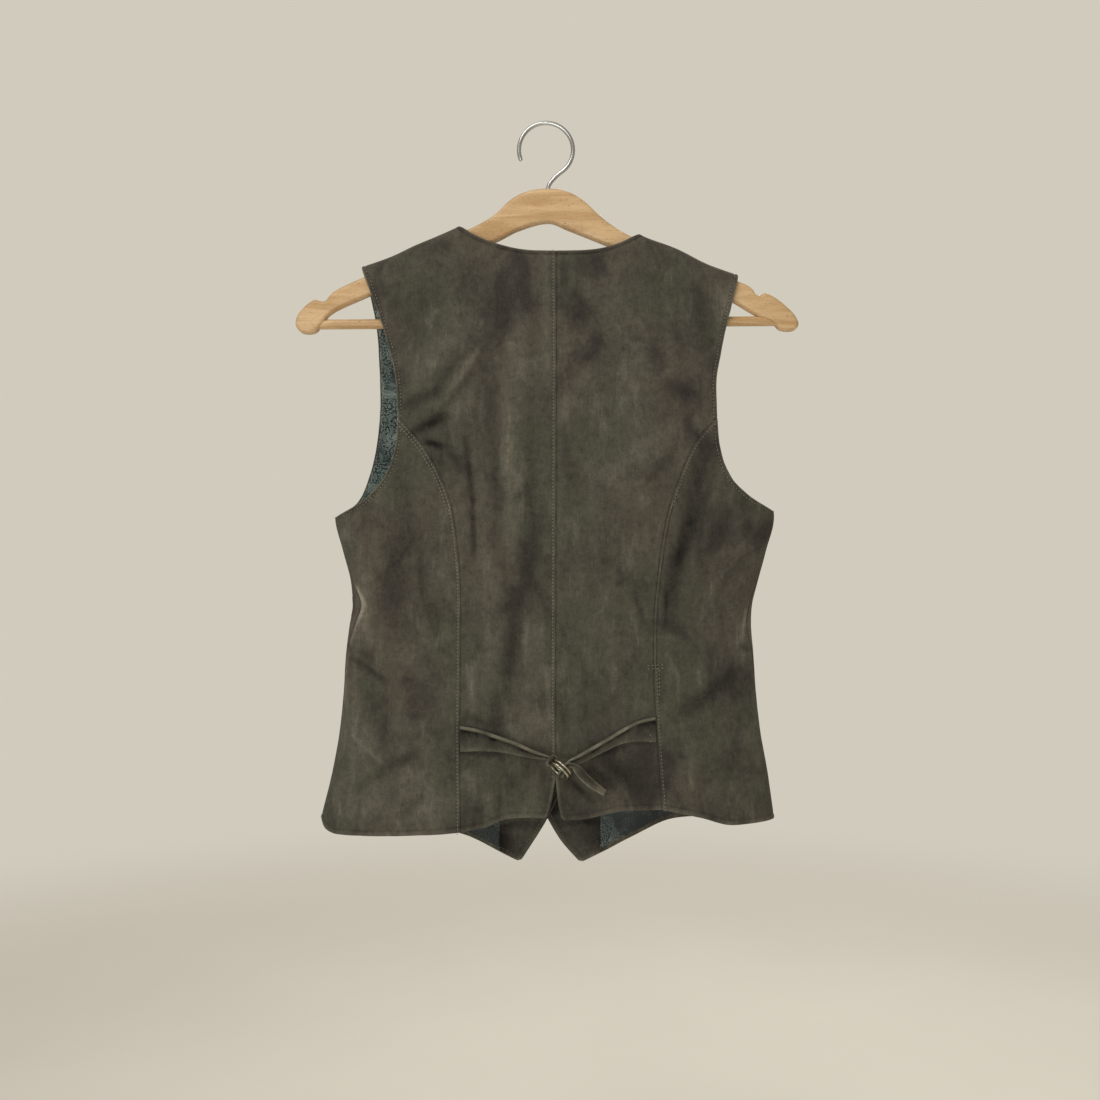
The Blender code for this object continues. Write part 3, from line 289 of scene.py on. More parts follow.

# Where the cloth is painted lighter (plus) or darker (minus), on the folds and between them: partly the
# nap's own
# # brushed tone, partly painted shade in folds, under the ties and round the tail, and painted highlights
# on ridges and edges
NAP_AND_PAINTED_SHADE = bells(
    back=(
        (-121.6, 246, -84, 186.9, 14.9, 0.55), (-146.7, 142.2, -94.8, 122.5, 9.9, 0.25),
        (-141.3, 165.5, -137.7, 170.8, 8, -0.5), (-130.6, 185.2, -127, 207.5, 8, -0.2),
        (-60.7, 133.2, -44.6, 194.1, 15.9, -0.45), (-44.6, 194.1, -55.4, 274.6, 12.9, -0.4),
        (-75.1, 133.2, -67.9, 158.3, 9.9, -0.3), (-118, 284.5, -88.5, 272, 5.5, -0.95),
        (-108.2, 295.2, -94.8, 297, 3.5, -1.3), (-132.3, 272, -88.5, 255.9, 3, 0.45),
        (-88.5, 255.9, -57.2, 205.7, 3, 0.6), (-132.3, 261.2, -99.2, 247.8, 5, -0.6),
        (-99.2, 247.8, -75.1, 212, 6, -0.6), (-94.8, 267.5, -66.1, 231.7, 5, -0.5),
        (-101.9, 308.7, -84, 319.4, 6, -0.35), (-72.4, 290.8, -65.2, 346.2, 3, -0.8),
        (-65.2, 346.2, -64.3, 396.4, 2.6, -0.8), (-55.4, 301.5, -53.6, 399.9, 6, 0.3),
        (-81.3, 337.3, -75.1, 382.1, 5, 0.15), (-132.3, 310.4, -127, 391, 10.9, -0.45),
        (-155.6, 319.4, -144.9, 382.1, 7, 0.2), (-173.5, 364.1, -166.4, 417.9, 8, 0.2),
        (-38.4, 229.9, -30.3, 399.9, 6, 0.4), (-24.9, 167.2, -23.2, 256.8, 4, 0.3),
        (-11.5, 167.2, -14.2, 274.6, 5, -0.35), (-14.2, 283.6, -12.4, 399.9, 6, -0.35),
        (-0.8, 122.5, 1.9, 256.8, 4, 0.3), (-41, 133.2, -23.2, 144.9, 11.9, 0.2),
        (-16, 144.9, -14.2, 167.2, 9.9, -0.3), (29.7, 176.2, 33.2, 181.6, 12.9, -0.75),
        (33.2, 231.7, 34.1, 240.6, 9, 0.45), (59.2, 167.2, 70.8, 194.1, 11.9, 0.25),
        (44.9, 185.2, 48.5, 194.1, 7, 0.3), (84.2, 212, 77.1, 292.6, 15.9, 0.3),
        (124.5, 247.8, 130.8, 251.4, 12.9, -0.95), (109.3, 244.2, 112.9, 249.6, 8, -0.4),
        (59.2, 321.2, 112.9, 281.8, 10.9, 0.5), (91.4, 330.1, 112.9, 303.3, 5, -0.55),
        (64.6, 346.2, 84.2, 364.1, 9.9, -0.2), (143.3, 301.5, 130.8, 364.1, 9, -1),
        (130.8, 364.1, 120.1, 399.9, 9, -1), (168.4, 364.1, 175.5, 386.5, 8, 0.3),
        (139.7, 154.7, 148.7, 212, 10.9, -0.35), (97.7, 133.2, 106.6, 167.2, 11.9, -0.25),
        (129, 138.6, 137.9, 149.3, 8, 0.25), (157.6, 167.2, 155.8, 238.8, 5, 0.2),
        (120.1, 319.4, 125.4, 301.5, 5, 0.35), (12.6, 256.8, 14.4, 399.9, 5, 0.25),
        (41.3, 301.5, 43.1, 399.9, 7, 0.2), (26.1, 399.9, 30.6, 471.6, 8, 0.15),
        (-134.1, 392.8, -137.7, 458.1, 14.9, -0.55), (-113.5, 391, -112.7, 437.5, 3, -0.45),
        (-109.1, 442.9, -99.2, 466.2, 3.6, -0.5), (-91.2, 399.9, -91.2, 444.7, 9, 0.2),
        (-175.3, 491.2, -146.7, 508.2, 3.6, -0.9), (-155.6, 516.3, -159.2, 536, 9.9, -0.4),
        (-130.6, 544.9, -126.1, 548.5, 9.9, 0.35), (-125.2, 527.9, -121.6, 530.6, 5, -0.35),
        (-147.6, 588.8, -118.9, 575.4, 6, -1), (-173.5, 608.5, -150.2, 593.3, 6, -0.45),
        (-175.3, 559.3, -148.5, 581.6, 2.2, 0.25), (-128.8, 630, -108.2, 610.3, 4, -0.6),
        (-179.8, 625.5, -103.7, 630.9, 9, 0.3), (-173.5, 471.6, -175.3, 632.6, 4, 0.35),
        (-186, 596.9, -193.2, 628.2, 7, 0.3), (-103.7, 561, -94.8, 614.8, 9.9, 0.15),
        (-52.7, 455.4, -50.9, 471.6, 5, 0.4), (-65.2, 493.9, -66.1, 544.9, 4.5, 0.55),
        (-43.7, 410.7, -44.6, 446.5, 8, 0.4), (-53.6, 399.9, -51.8, 426.8, 6, 0.2),
        (-16.9, 399.9, -14.2, 419.6, 8, -0.7), (-28.5, 449.2, -31.2, 500.2, 9.9, -0.6),
        (-44.6, 523.5, -41.9, 556.6, 8, -0.95), (-65.2, 540.5, -50, 548.5, 4.5, -0.8),
        (-58.9, 435.8, -60.7, 480.5, 5, -0.25), (-0.8, 494.8, 4.6, 544.9, 3.6, 0.7),
        (-4.4, 462.6, -3.5, 480.5, 6, 0.45), (-17.8, 516.3, -14.2, 561, 7, 0.25),
        (-69.7, 592.4, -62.5, 614.8, 5, 0.3), (-41, 600.4, -41, 630, 2.6, -0.7),
        (-52.7, 610.3, -50.9, 625.5, 7, 0.4), (-14.2, 596.9, -8.8, 620.1, 9, 0.3),
        (-27.6, 592.4, -18.7, 605.8, 9, -0.3), (-5.2, 571.8, -0.8, 605.8, 4, -0.3),
        (118.3, 392.8, 111.1, 435.8, 10.9, -0.85), (108.4, 428.6, 107.5, 464.4, 2.6, -0.9),
        (135.3, 435.8, 151.4, 471.6, 9.9, 0.15), (52.9, 458.1, 55.6, 471.6, 9, 0.35),
        (39.5, 435.8, 44.9, 458.1, 7, 0.2), (48.5, 512.7, 52, 516.3, 12.9, -0.5),
        (68.1, 496.6, 77.1, 500.2, 9, -0.2), (84.2, 516.3, 86, 536, 7, 0.2),
        (21.6, 516.3, 23.4, 561, 6, 0.2), (129, 536, 175.5, 503.8, 9, -0.95),
        (163, 496.6, 184.5, 503.8, 6, -0.3), (178.2, 557.5, 180.9, 562.8, 8, 0.4),
        (148.7, 580.7, 195.2, 593.3, 7, -0.35), (112.9, 604, 120.1, 621.9, 6, -0.35),
        (124.5, 561, 137.9, 579, 9, 0.2), (137.9, 605.8, 173.8, 620.1, 9, 0.2),
        (27.9, 577.2, 68.1, 566.4, 4.5, -1.1), (48.5, 592.4, 84.2, 587.9, 9.9, -0.3),
        (26.1, 614.8, 84.2, 620.1, 7, 0.2), (57.4, 579, 75.3, 605.8, 9, -0.25),
        (155.8, 399.9, 170.2, 435.8, 9.9, -0.15), (167.5, 471.6, 175.5, 485, 6, 0.2),
        (188.1, 525.2, 195.2, 605.8, 5, 0.3), (-166.5, 426, -164, 470, 8, 0.75),
        (-142, 365, -141, 440, 13, -0.3), (-112, 380, -110, 440, 5, -0.3),
        (-173, 424.5, -165.6, 439.5, 2.4, 1.35), (-165.6, 441, -174, 463, 3, 1.15),
        (-175, 465, -178.5, 476, 2.6, 1), (44, 570, 88, 606, 12, -0.7), (16, 600, 30, 606, 6, -0.6),
        (-58, 566, -20, 574, 5, -0.6), (-80, 572, -50, 574.5, 2.4, -1), (-41, 563, -8, 580, 3, -0.9),
        (-85.8, 304.2, -74.2, 317.6, 5.5, -0.85), (-126.1, 263.9, -94.8, 249.6, 7, -0.4),
        (-7, 364.1, -38.4, 516.3, 9, -0.45), (18, 592.4, 41.3, 614.8, 3.5, -1),
        (41.3, 586.1, 59.2, 602.2, 5, -1), (48.5, 561, 88.7, 614.8, 20, -0.25),
        (129, 283.6, 148.7, 301.5, 8, -0.4), (48.5, 312.2, 75.3, 346.2, 16, 0.3),
        (27.9, 167.2, 30.6, 185.2, 12, -0.35), (-126, 482, -95, 518, 12, 0.35),
        (-185, 612, -90, 622, 14, 0.3), (-31, 180, -31, 395, 8, 0.35), (110, 241, 130, 251, 7, -0.5),
        (-126.1, 256.8, -72.4, 297, 18, -0.35), (-119.8, 162.8, -112.7, 207.5, 17, -0.45),
        (-108.2, 133.2, -94.8, 153.8, 18, -0.15), (-50, 252.3, -50, 306, 10, -0.4),
        (-50, 471.6, -49.1, 520.8, 10, 0.4), (-56.3, 399.9, -60.7, 471.6, 12, 0.35),
        (-18.7, 435.8, -9.7, 516.3, 9, 0.3), (-179.8, 556.6, -103.7, 614.8, 24, 0.4),
        (-173.5, 587.9, -152.9, 614.8, 12, 0.3), (129, 149.3, 139.7, 203, 18, -0.35),
        (39.5, 536, 68.1, 532.4, 10, -0.3), (-14.2, 194.1, -14.2, 238.8, 8, 0.3),
        (-106.4, 293.4, -93, 298.8, 3.6, -0.8), (182, 446.5, 178.6, 474, 2, 1.2),
        (178.6, 479.5, 184, 482, 3, -0.8),
    ),
    front=(
        (-178, 425, -178, 470, 3, -1.2), (-120, 300, -70, 350, 12, 0.4), (-150, 380, -86, 400, 9, -0.7),
        (128, 296, 78, 344, 12, 0.4), (160, 372, 96, 396, 9, -0.7), (-96, 420, -100, 640, 16, 0.3),
        (104, 430, 108, 640, 16, 0.3), (-150, 470, -110, 520, 9, -0.6), (158, 476, 118, 524, 9, -0.6),
        (-60, 200, -50, 300, 10, 0.3), (70, 200, 60, 300, 10, -0.3), (-140, 180, -130, 250, 9, -0.4),
        (140, 170, 132, 240, 9, 0.3), (-40, 400, -36, 560, 9, -0.4), (52, 400, 48, 540, 8, -0.4),
        (-130, 560, -60, 600, 12, 0.3), (130, 560, 60, 590, 12, -0.3), (-170, 560, -160, 630, 8, 0.3),
        (176, 560, 168, 620, 8, 0.3), (-20, 600, -30, 660, 8, 0.3), (30, 600, 34, 660, 8, -0.3),
    ),
    # Painted shade on the insides: in the vent between the flaps, and on the lining and facing under the
    # hems
    inside=(
        (5, 600, 6, 638, 9, -2.8), (-84, 658, -50, 674, 19, -2.6), (50, 655, 112, 650, 22, -1.6),
        (-80, 650, -48, 662, 13, -2.3), (-151, 185, -151, 235, 9, -0.35), (74, 644, 118, 640, 13, -1.5),
        (-40, 660, -20, 676, 9, -0.3), (-60, 652, 0, 650, 4, -0.9), (8, 650, 60, 646, 4, -0.9),
    ),
)

# How the cloth rises, and is made lighter (plus: rubbed edges and painted highlights on rolled edges) or
# darker
# # (minus: painted shade in grooves and under rolled edges), at distances in from an edge
STITCHED_SEAM = profile(
    (0, -0.2, -0.4), (0.4, 0, -0.1), (0.9, 0.16, 0.25), (1.6, 0.3, 0.45), (2.2, 0.2, 0.3),
    (2.8, -0.12, -0.15), (3.5, -0.02, -0.1), (4.4, 0.06, 0), (6.6, 0, 0),
)
# Two grooves side by side, where the right princess seam has no stitches
DOUBLE_SEAM = profile(
    (0, -0.3, -0.6), (0.5, 0, 0), (1.4, 0.25, 0.35), (2.2, 0.1, 0.1), (2.8, -0.35, -0.8), (3.4, 0, 0),
    (4.6, 0.12, 0.1), (8, 0, 0),
)
PLAIN_SEAM = profile(
    (0, -0.25, -0.4), (0.4, -0.1, -0.2), (1, -0.03, -0.05), (2.4, 0.08, 0.06), (4.5, 0.02, 0),
    (6.6, 0, 0),
)
SIDE_SEAM = profile(
    (0, -0.6, -0.5), (0.6, -0.2, 0), (1.6, 0.12, 0.3), (3.2, 0.04, 0.1), (6.6, 0, 0),
)
BOUND_EDGE = profile(
    (0, 0.05, 1.3), (0.6, 0.36, 0.9), (1.3, 0.32, -0.5), (2, 0.36, 0.1), (2.4, 0.22, -0.1),
    (3.1, -0.26, -0.8), (3.9, -0.02, -0.2), (5.2, 0.08, 0.08), (8, 0, 0),
)
HEM_EDGE = profile(
    (0, 0, 0.6), (0.6, 0.28, 0.6), (1.8, 0.34, 0.35), (3.2, 0.24, 0.15), (4.4, -0.16, -0.3),
    (5.6, 0.04, 0.1), (8, 0, 0),
)
VENT_EDGE = profile(
    (0, 0, 0.95), (0.6, 0.3, 0.95), (2, 0.3, 0.3), (3, 0.05, 0), (3.8, -0.1, -0.2), (5.6, 0, 0),
)
FRONT_EDGE = profile(
    (0, 0, 0.5), (0.7, 0.34, 0.5), (2.4, 0.36, 0.2), (4.4, 0.12, 0), (5.2, -0.2, -0.3), (6.2, 0, 0),
    (8, 0, 0),
)
TURNED_UNDER = profile(
    (0, -0.3, -0.4), (0.8, 0, 0.1), (2, 0.1, 0), (4, 0, 0),
)

# The drop to which the left princess seam has two rows, and between which the right one has none
LEFT_CURVE_DROP = 352.0
RIGHT_PLAIN_DROPS = (352.0, 497.0)

# Short tacks: side, x and drop of both ends, and how far they stand off the garment's surface
TACKS = (
    (BACK, 92.0, 495.0, 104.5, 494.2, 0.4),
    (BACK, 92.4, 498.0, 104.9, 497.2, 0.4),
    (BACK, 101.8, 499.5, 101.9, 521.0, 0.5),
    (BACK, 93.0, 556.6, 93.3, 562.4, 4.6),
)
# The buttonholes run to both sides of each button's middle
HOLE_REACH = (-8.5, 9.5)
HOLE_ROWS = (-1.5, 1.5)
HOLE_LIFT = 0.3
SLIT_WIDTH = 0.7
SLIT_HEIGHT = 0.3
SLIT_LIFT = 0.1
SLIT_INSET = 1
# Rows of stitches: the panel, the stretch of edge, and how far inside it they run
STITCH_ROWS = (
    ("back_centre_left", "centre", 2.8), ("back_side_left", "curve", 2.2), ("back_side_left", "curve", 5),
    ("back_side_left", "princess", 2.6), ("back_side_right", "princess", 2.6),
    ("back_side_right", "low", 2.6), ("back_centre_left", "armhole", 3.1),
    ("back_centre_right", "armhole", 3.1), ("back_side_left", "armhole", 3.1),
    ("back_side_right", "armhole", 3.1), ("front_left", "armhole", 3.1), ("front_right", "armhole", 3.1),
    ("front_left", "edge", 5.2), ("front_right", "edge", 5.2), ("front_left", "hem", 5.2),
    ("front_right", "hem", 5.2),
)
FACING_ROWS = (
    ("facing_front_left", "edge", 3.4), ("facing_front_right", "edge", 3.4),
    ("facing_front_left", "hem", 3.4), ("facing_front_right", "hem", 3.4),
)

# A tie's cross-section: distances from its upper edge and then shares of the rest of its width,
# # how far its two faces lie from its middle, how thick the loose tail is, and how much lighter or darker
# it is
# # along the tie and on the tail: rubbed, with a painted highlight on the rolled edge and painted shadow
# under it
TIE_PROFILE = table(
    "near share front back wear tail rubbed",
    (0, 0, 0.6, 0.6, 1.2, 0.4, 0.8), (0.3, 0, 1.5, 1.2, 1.6, 0.8, 0.6), (1, 0, 2.2, 1.5, 1.3, 1, 0.2),
    (1.9, 0, 2.3, 1.6, 0.9, 0.9, -0.4), (2.7, 0, 1.7, 1.4, -0.3, 0.85, -0.3),
    (3.3, 0, 0.9, 1, -1.4, 0.85, -0.2), (4.2, 0, 0.55, 0.9, -1.3, 0.85, 0),
    (4.2, 0.2, 0.6, 0.8, -0.8, 0.85, 0.1), (4.2, 0.4, 0.7, 0.8, -0.4, 0.9, 0.3),
    (4.2, 0.6, 0.8, 0.8, -0.2, 0.9, 0.4), (4.2, 0.74, 0.85, 0.8, 0, 1.1, 1.4),
    (4.2, 0.86, 0.95, 0.8, 0.4, 1.3, 2.8), (4.2, 0.97, 0.9, 0.7, 0.8, 1.1, 3),
    (4.2, 1, 0.45, 0.45, 0.6, 0.45, 2.4),
)
TAIL_LONG = 46.0
TIE_NARROW = 9.0
TIE_THINNEST = 0.5
# The waves go into the roll alone, where the front stands out further than this
TIE_ROLLED = 0.9
TIE_WAVES = ((0.14, 4.1, 0), (0.1, 2.3, 1.3))
# How rubbed the loose tail is, and over what length from its tip
TIP_WEAR = 1.2
TIP_LONG = 16.0
LOOP_SECTION = ((-1, -0.6), (-0.9, -1), (0.9, -1), (1, -0.6), (1, 0.6), (0.9, 1), (-0.9, 1), (-1, 0.6))
BUTTON_SECTION = (
    (0, -1.5), (5.6, -1.5), (6.9, -1), (7.5, 0), (7.4, 0.7), (6.9, 1.3), (6.2, 1.5), (5.5, 1.3),
    (4.9, 0.75), (4.2, 0.45), (0, 0.3),
)

# The fine grids: distances in from an edge, how far apart the rest lies, and the rings of a rim
WELD = 0.02
EDGE_STEPS = 360
DENSE = 150
KNEE = DENSE // 3
NEAR = (0.15, 0.5, 0.95, 1.5, 2.1, 2.6, 3.1, 3.6, 4.4, 5.4, 6.8, 8.6)
NEAR_ALL = dict.fromkeys(RIMS, NEAR)
NEAR_INSIDE = (0.0, 0.5, 1.3, 2.8)
PITCH = 2.6
FRONT_PITCH = 3.2
LINING_PITCH = 3.6
REACH = 26
RIM = (0.12, 0.32, 0.5, 0.68, 0.88)
RIM_FULLNESS = 0.6
EDGE_ROUND = 0.55
SEAM_ROUND = 0.3
LINING_ROUND = 0.2
FACING_ROUND = 0.1
FACING_EDGE_ROUND = 0.3
PUCKER = 0.16
PUCKER_WAVES = ((2.3, 0), (3.9, 1), (7.1, 0))
RELIEF_LIMITS = (-0.95, 0.9)
MARK_LIMITS = (-3, 3)
CREST_PAST = 1.1
CREST_FADE = 14.0
# Crease troughs are darkened with painted shade and crease ridges lightened with a painted highlight, by
# this share of their height
CREASE_SHADE = 0.35
BACK_CORNER = 0.272
FRONT_CORNER = 0.42
# The lowest points are rounded: over what reach, and how far that draws them in
POINT_PULL = 0.41
POINT_STEPS = 9
BACK_POINT_ROUND = 2.5
FRONT_POINT_ROUND = 3.5
# Rows along these edges stop short of the front's point, at this share of their distance inside
MITRED = ("edge", "hem")
MITRE_SHARE = 1.6
# How many points the small parts have along them, and round them
TIE_STEPS = (70, 200)
RING_STEPS, RING_SIDES = 72, 14
LOOP_STEPS = 40
BUTTON_STEPS, BUTTON_HOLE_SIDES = 40, 14
TACK_STEPS = 12
THREAD_STEPS, THREAD_SIDES = 8, 8
SLIT_SIDES = 10
ARM_STEPS, ARM_EDGE_STEPS = 7, 6
BAR_STEPS, BAR_SIDES = 24, 40
HOOK_SIDES = 20
FLOOR_SIDES = 96
SHARP_ANGLE = math.radians(35)

# Long shallow waves between the folds. The shorter a wave is, the lower, by this power.
WAVE_COUNT = 22
WAVE_LENGTHS = (24.0, 90.0)
WAVE_HEIGHT = 0.32
WAVE_POWER = 0.8
WAVE_SEEDS = {BACK: 3, FRONT: 8}

# The stitches: their spacing and sizes, in metres, and the seed of their unevenness
STITCH_SIZES = {
    "Pitch": 0.0032,
    "Length": 0.0023,
    "Width": 0.0007,
    "Height": 0.00055,
    "Hole": 0.00095,
    "Hole depth": 0.0004,
    "Seed": 4,
}
# How uneven the stitches are: their least and greatest scale, and how far they turn
STITCH_SCALES = ((0.86, 0.8, 0.8), (1.08, 1.15, 1.1))
STITCH_TURN = 0.14
STITCH_SIDES, STITCH_RINGS, HOLE_RINGS = 6, 4, 3

# Camera, light and floor, in metres
CAMERA_PLACE = (0.0037, -1.110, -0.391)
CAMERA_LENS = 39.49
WALL_COLOUR = (209, 203, 189)
WORLD_STRENGTH = 0.5
LIGHT_AIM = (0.0, 0.0, -0.38)
LIGHTS = (
    ("key", (-0.6, -1.15, 1.3), 1.2, 16.0, (1.0, 0.99, 0.97)),
    ("fill", (-0.9, -3.1, -0.9), 2.4, 41.0, (0.96, 0.98, 1.0)),
    ("front", (0.8, 1.3, 1.1), 0.9, 32.0, (1.0, 0.99, 0.98)),
)
FLOOR_Z = -1.25
FLOOR_RADIUS = 3.0
FLOOR_FADE = (1.2, 2.8)

# On-screen colours of the nap: dark, mid, brown and light
SUEDE_COLOURS = ((55, 51, 46), (76, 74.5, 63), (81.5, 75.5, 66), (110, 105, 92))
FACING_COLOURS = ((55, 51, 46), (76, 74, 64), (81, 75, 67), (107, 103, 91))
BROWN_ABOVE = (-0.45, -0.22)
THREAD_COLOUR = (130, 125, 108)
# Painted shade: the dark colour of the needle holes and the buttonhole slits
NEEDLE_HOLE_SHADE = (34, 31, 27)
FACING_THREAD_COLOUR = (93, 88, 76)


def smooth(places, values, at):
    """A smooth curve with no overshoot through a table's column, read at places in an array."""
    secants = np.diff(values) / np.maximum(np.diff(places), 1e-9)
    before, after = np.r_[secants[0], secants], np.r_[secants, secants[-1]]
    steepest = 3 * np.minimum(np.abs(before), np.abs(after)) * (before * after > 0)
    slopes = np.clip(np.gradient(values, places), -steepest, steepest)
    at = np.clip(at, places[0], places[-1])
    i = np.clip(np.searchsorted(places, at, side="right") - 1, 0, len(places) - 2)
    step = places[i + 1] - places[i]
    f = (at - places[i]) / step
    g = 1 - f
    ends = values[i] * (1 + 2 * f) * g * g + values[i + 1] * (3 - 2 * f) * f * f
    return ends + step * f * g * (slopes[i] * g - slopes[i + 1] * f)


def ease(f):
    f = np.clip(f, 0, 1)
    return f * f * (3 - 2 * f)


def line(points, shares):
    """Points at these shares of the length of a smooth line through the given ones."""
    points = np.array(points, float)
    lengths = np.linalg.norm(np.diff(points, axis=0), axis=1)
    run = np.concatenate([[0], np.cumsum(lengths)])
    at = np.asarray(shares) * run[-1]
    return np.stack([smooth(run, points[:, k], at) for k in range(points.shape[1])], axis=-1)


def even(count):
    return np.linspace(0, 1, count + 1)


def joined(*lines):
    return np.concatenate([lines[0]] + [part[1:] for part in lines[1:]])


def unit(vectors):
    return vectors / np.maximum(np.linalg.norm(vectors, axis=-1, keepdims=True), 1e-9)


class Edge:
    """A panel's edge: smooth stretches that meet in corners, read at a share of the length."""

    def __init__(self, *stretches):
        parts = [line(stretch, even(EDGE_STEPS)) for stretch in stretches]
        self.points = joined(*parts)
        self.run = run_of(self.points[None])[0]
        self.corner = self.run[EDGE_STEPS] / self.run[-1]
        self.stretches = len(stretches)

    def __call__(self, share):
        at = np.asarray(share) * self.run[-1]
        return np.stack([np.interp(at, self.run, self.points[:, k]) for k in (0, 1)], axis=-1)


def run_of(rows):
    """How far along its row each point lies."""
    steps = np.linalg.norm(np.diff(rows, axis=1), axis=-1)
    return np.concatenate([np.zeros((len(rows), 1)), np.cumsum(steps, axis=1)], axis=1)


def patch(top, bottom, left, right, s, t):
    """The points between four edges that share their corners.

    left and right hold a point a row, t says how far down each row lies, and s how far across each
    point of a row lies."""
    t = t[:, None, None]
    across = (1 - t) * top(s) + t * bottom(s)
    s = s[..., None]
    down = (1 - s) * left[:, None] + s * right[:, None]
    first, last = (1 - s) * top(0) + s * top(1), (1 - s) * bottom(0) + s * bottom(1)
    return across + down - (1 - t) * first - t * last


def folds(rows, side, x, drop):
    """How far a table's folds raise the cloth at each place."""
    total = np.zeros_like(x)
    for fold_side, x0, drop0, x1, drop1, width, height in zip(*rows):
        length = math.hypot(x1 - x0, drop1 - drop0)
        along = ((x - x0) * (x1 - x0) + (drop - drop0) * (drop1 - drop0)) / length
        across = ((x - x0) * (drop1 - drop0) - (drop - drop0) * (x1 - x0)) / length
        past = along - np.clip(along, 0, length)
        bell = np.exp(-(across**2 + past**2) / (2 * (FOLD_SPREAD * width) ** 2))
        share = np.clip(along / length, 0, 1)
        swell = np.sin(math.pi * (FOLD_TAPER + (1 - 2 * FOLD_TAPER) * share))
        total += np.where(side == fold_side, height * bell * swell, 0)
    return total


def wave_table(seed):
    """Long shallow waves in many directions, from a fixed seed."""
    draw = np.random.default_rng(seed)
    turn = draw.uniform(0, math.pi, WAVE_COUNT)
    long = np.exp(draw.uniform(math.log(WAVE_LENGTHS[0]), math.log(WAVE_LENGTHS[1]), WAVE_COUNT))
    return np.cos(turn) / long, np.sin(turn) / long, draw.uniform(0, 1, WAVE_COUNT), long


def ripple(side, x, drop):
    """The cloth's own unevenness between the folds."""
    total = np.zeros_like(x)
    for wave_side, table_of_waves in WAVES.items():
        swing = np.zeros_like(x)
        for across, down, phase, long in zip(*table_of_waves):
            turn = 2 * math.pi * (x * across + drop * down + phase)
            swing += np.sin(turn) * (long / WAVE_LENGTHS[1]) ** WAVE_POWER
        total += np.where(side == wave_side, swing * WAVE_HEIGHT, 0)
    return total


WAVES = {side: wave_table(seed) for side, seed in WAVE_SEEDS.items()}


def surface(side, x, drop):
    """Points of the garment's outer surface. Past a side or the crest they roll to the other side."""
    x, drop = np.array(x, float), np.array(drop, float)
    side = np.full(x.shape, float(side))
    left = smooth(SIDES.drop, SIDES.left, drop)
    right = smooth(SIDES.drop, SIDES.right, drop)
    side = np.where((x < left) | (x > right), -side, side)
    x = np.where(x < left, 2 * left - x, np.where(x > right, 2 * right - x, x))
    crest = smooth(CREST.x, CREST.drop, x)
    side = np.where(drop < crest, -side, side)
    drop = np.where(drop < crest, 2 * crest - drop, drop)
    below = drop - crest
    across = np.clip(np.abs(2 * x - left - right) / (right - left), 0, 1)
    lens = np.sqrt(1 - across**SIDE_FULLNESS)
    roll = np.sqrt(1 - (1 - np.clip(below / SHOULDER_ROLL, 0, 1)) ** 2)
    full = np.where(
        side < 0,
        smooth(DEPTHS.drop, DEPTHS.back, drop),
        smooth(DEPTHS.drop, DEPTHS.front, drop),
    )
    depth = SHOULDER_ROLL * roll * (1 + ease(below / ROLL_REACH) * (lens - 1))
    depth += (full - SHOULDER_ROLL) * ease(below / DEPTH_REACH) * lens
    raised = folds(FOLDS, side, x, drop) + ripple(side, x, drop)
    depth += raised * ease(below / FOLD_REACH) * np.clip(2 * lens, 0, 1)
    return np.stack([x, side * depth, -drop], axis=-1)


def normals(side, x, drop):
    """Outward unit normals of the surface, from its slopes to either side of each point."""
    a = surface(side, x + SLOPE_STEP, drop) - surface(side, x - SLOPE_STEP, drop)
    b = surface(side, x, drop + SLOPE_STEP) - surface(side, x, drop - SLOPE_STEP)
    return unit(np.cross(a, b) * side)


def lap(x):
    """How far the right front stands out where it laps over the left one."""
    near, far = LAP_REACH
    return LAP_STEP * ease((CLOSING_X + far - x) / (far - near))


def spread(lengths, count, start, end):
    """Distances in each row: the first and last at these distances from its ends, the rest even."""
    lengths = lengths[:, None]
    start, end = np.array(start), np.array(end)[::-1]
    between = even(count + 1)[1:-1]
    rest = start[-1] + (lengths - start[-1] - end[0]) * between
    return np.concatenate([np.tile(start, (len(lengths), 1)), rest, lengths - end], axis=1)


def respaced(side, grid, pitch, start, end):
    """The grid with the points of each row set at even distances over the garment."""
    run = run_of(surface(side, grid[..., 0], grid[..., 1]))
    count = int((run[:, -1].max() - start[-1] - end[-1]) / pitch)
    at = spread(run[:, -1], count, start, end)
    rows = zip(at, run, grid)
    return np.array([[np.interp(a, r, row[:, k]) for k in (0, 1)] for a, r, row in rows]).swapaxes(1, 2)


def turned(array, side):
    """The array with its first axis along this side and its second axis in from it."""
    if side in ("top", "bottom"):
        array = np.swapaxes(array, 0, 1)
    return array[:, ::-1] if side in ("right", "bottom") else array


def distances(points, along_line):
    """Each point's distance from a line of points, and how far along the line it lies."""
    start, run = along_line[:-1], np.diff(along_line, axis=0)
    lengths = np.maximum(np.linalg.norm(run, axis=1), 1e-6)
    passed = np.concatenate([[0], np.cumsum(lengths)[:-1]])
    away, along = np.empty(points.shape[:2]), np.empty(points.shape[:2])
    for i, row in enumerate(points):
        offset = row[:, None] - start
        share = np.clip(np.einsum("psk,sk->ps", offset, run) / lengths**2, 0, 1)
        gap = np.linalg.norm(offset - share[..., None] * run, axis=-1)
        nearest = gap.argmin(axis=1)
        pick = np.arange(len(row)), nearest
        away[i] = gap[pick]
        along[i] = passed[nearest] + share[pick] * lengths[nearest]
    return away, along


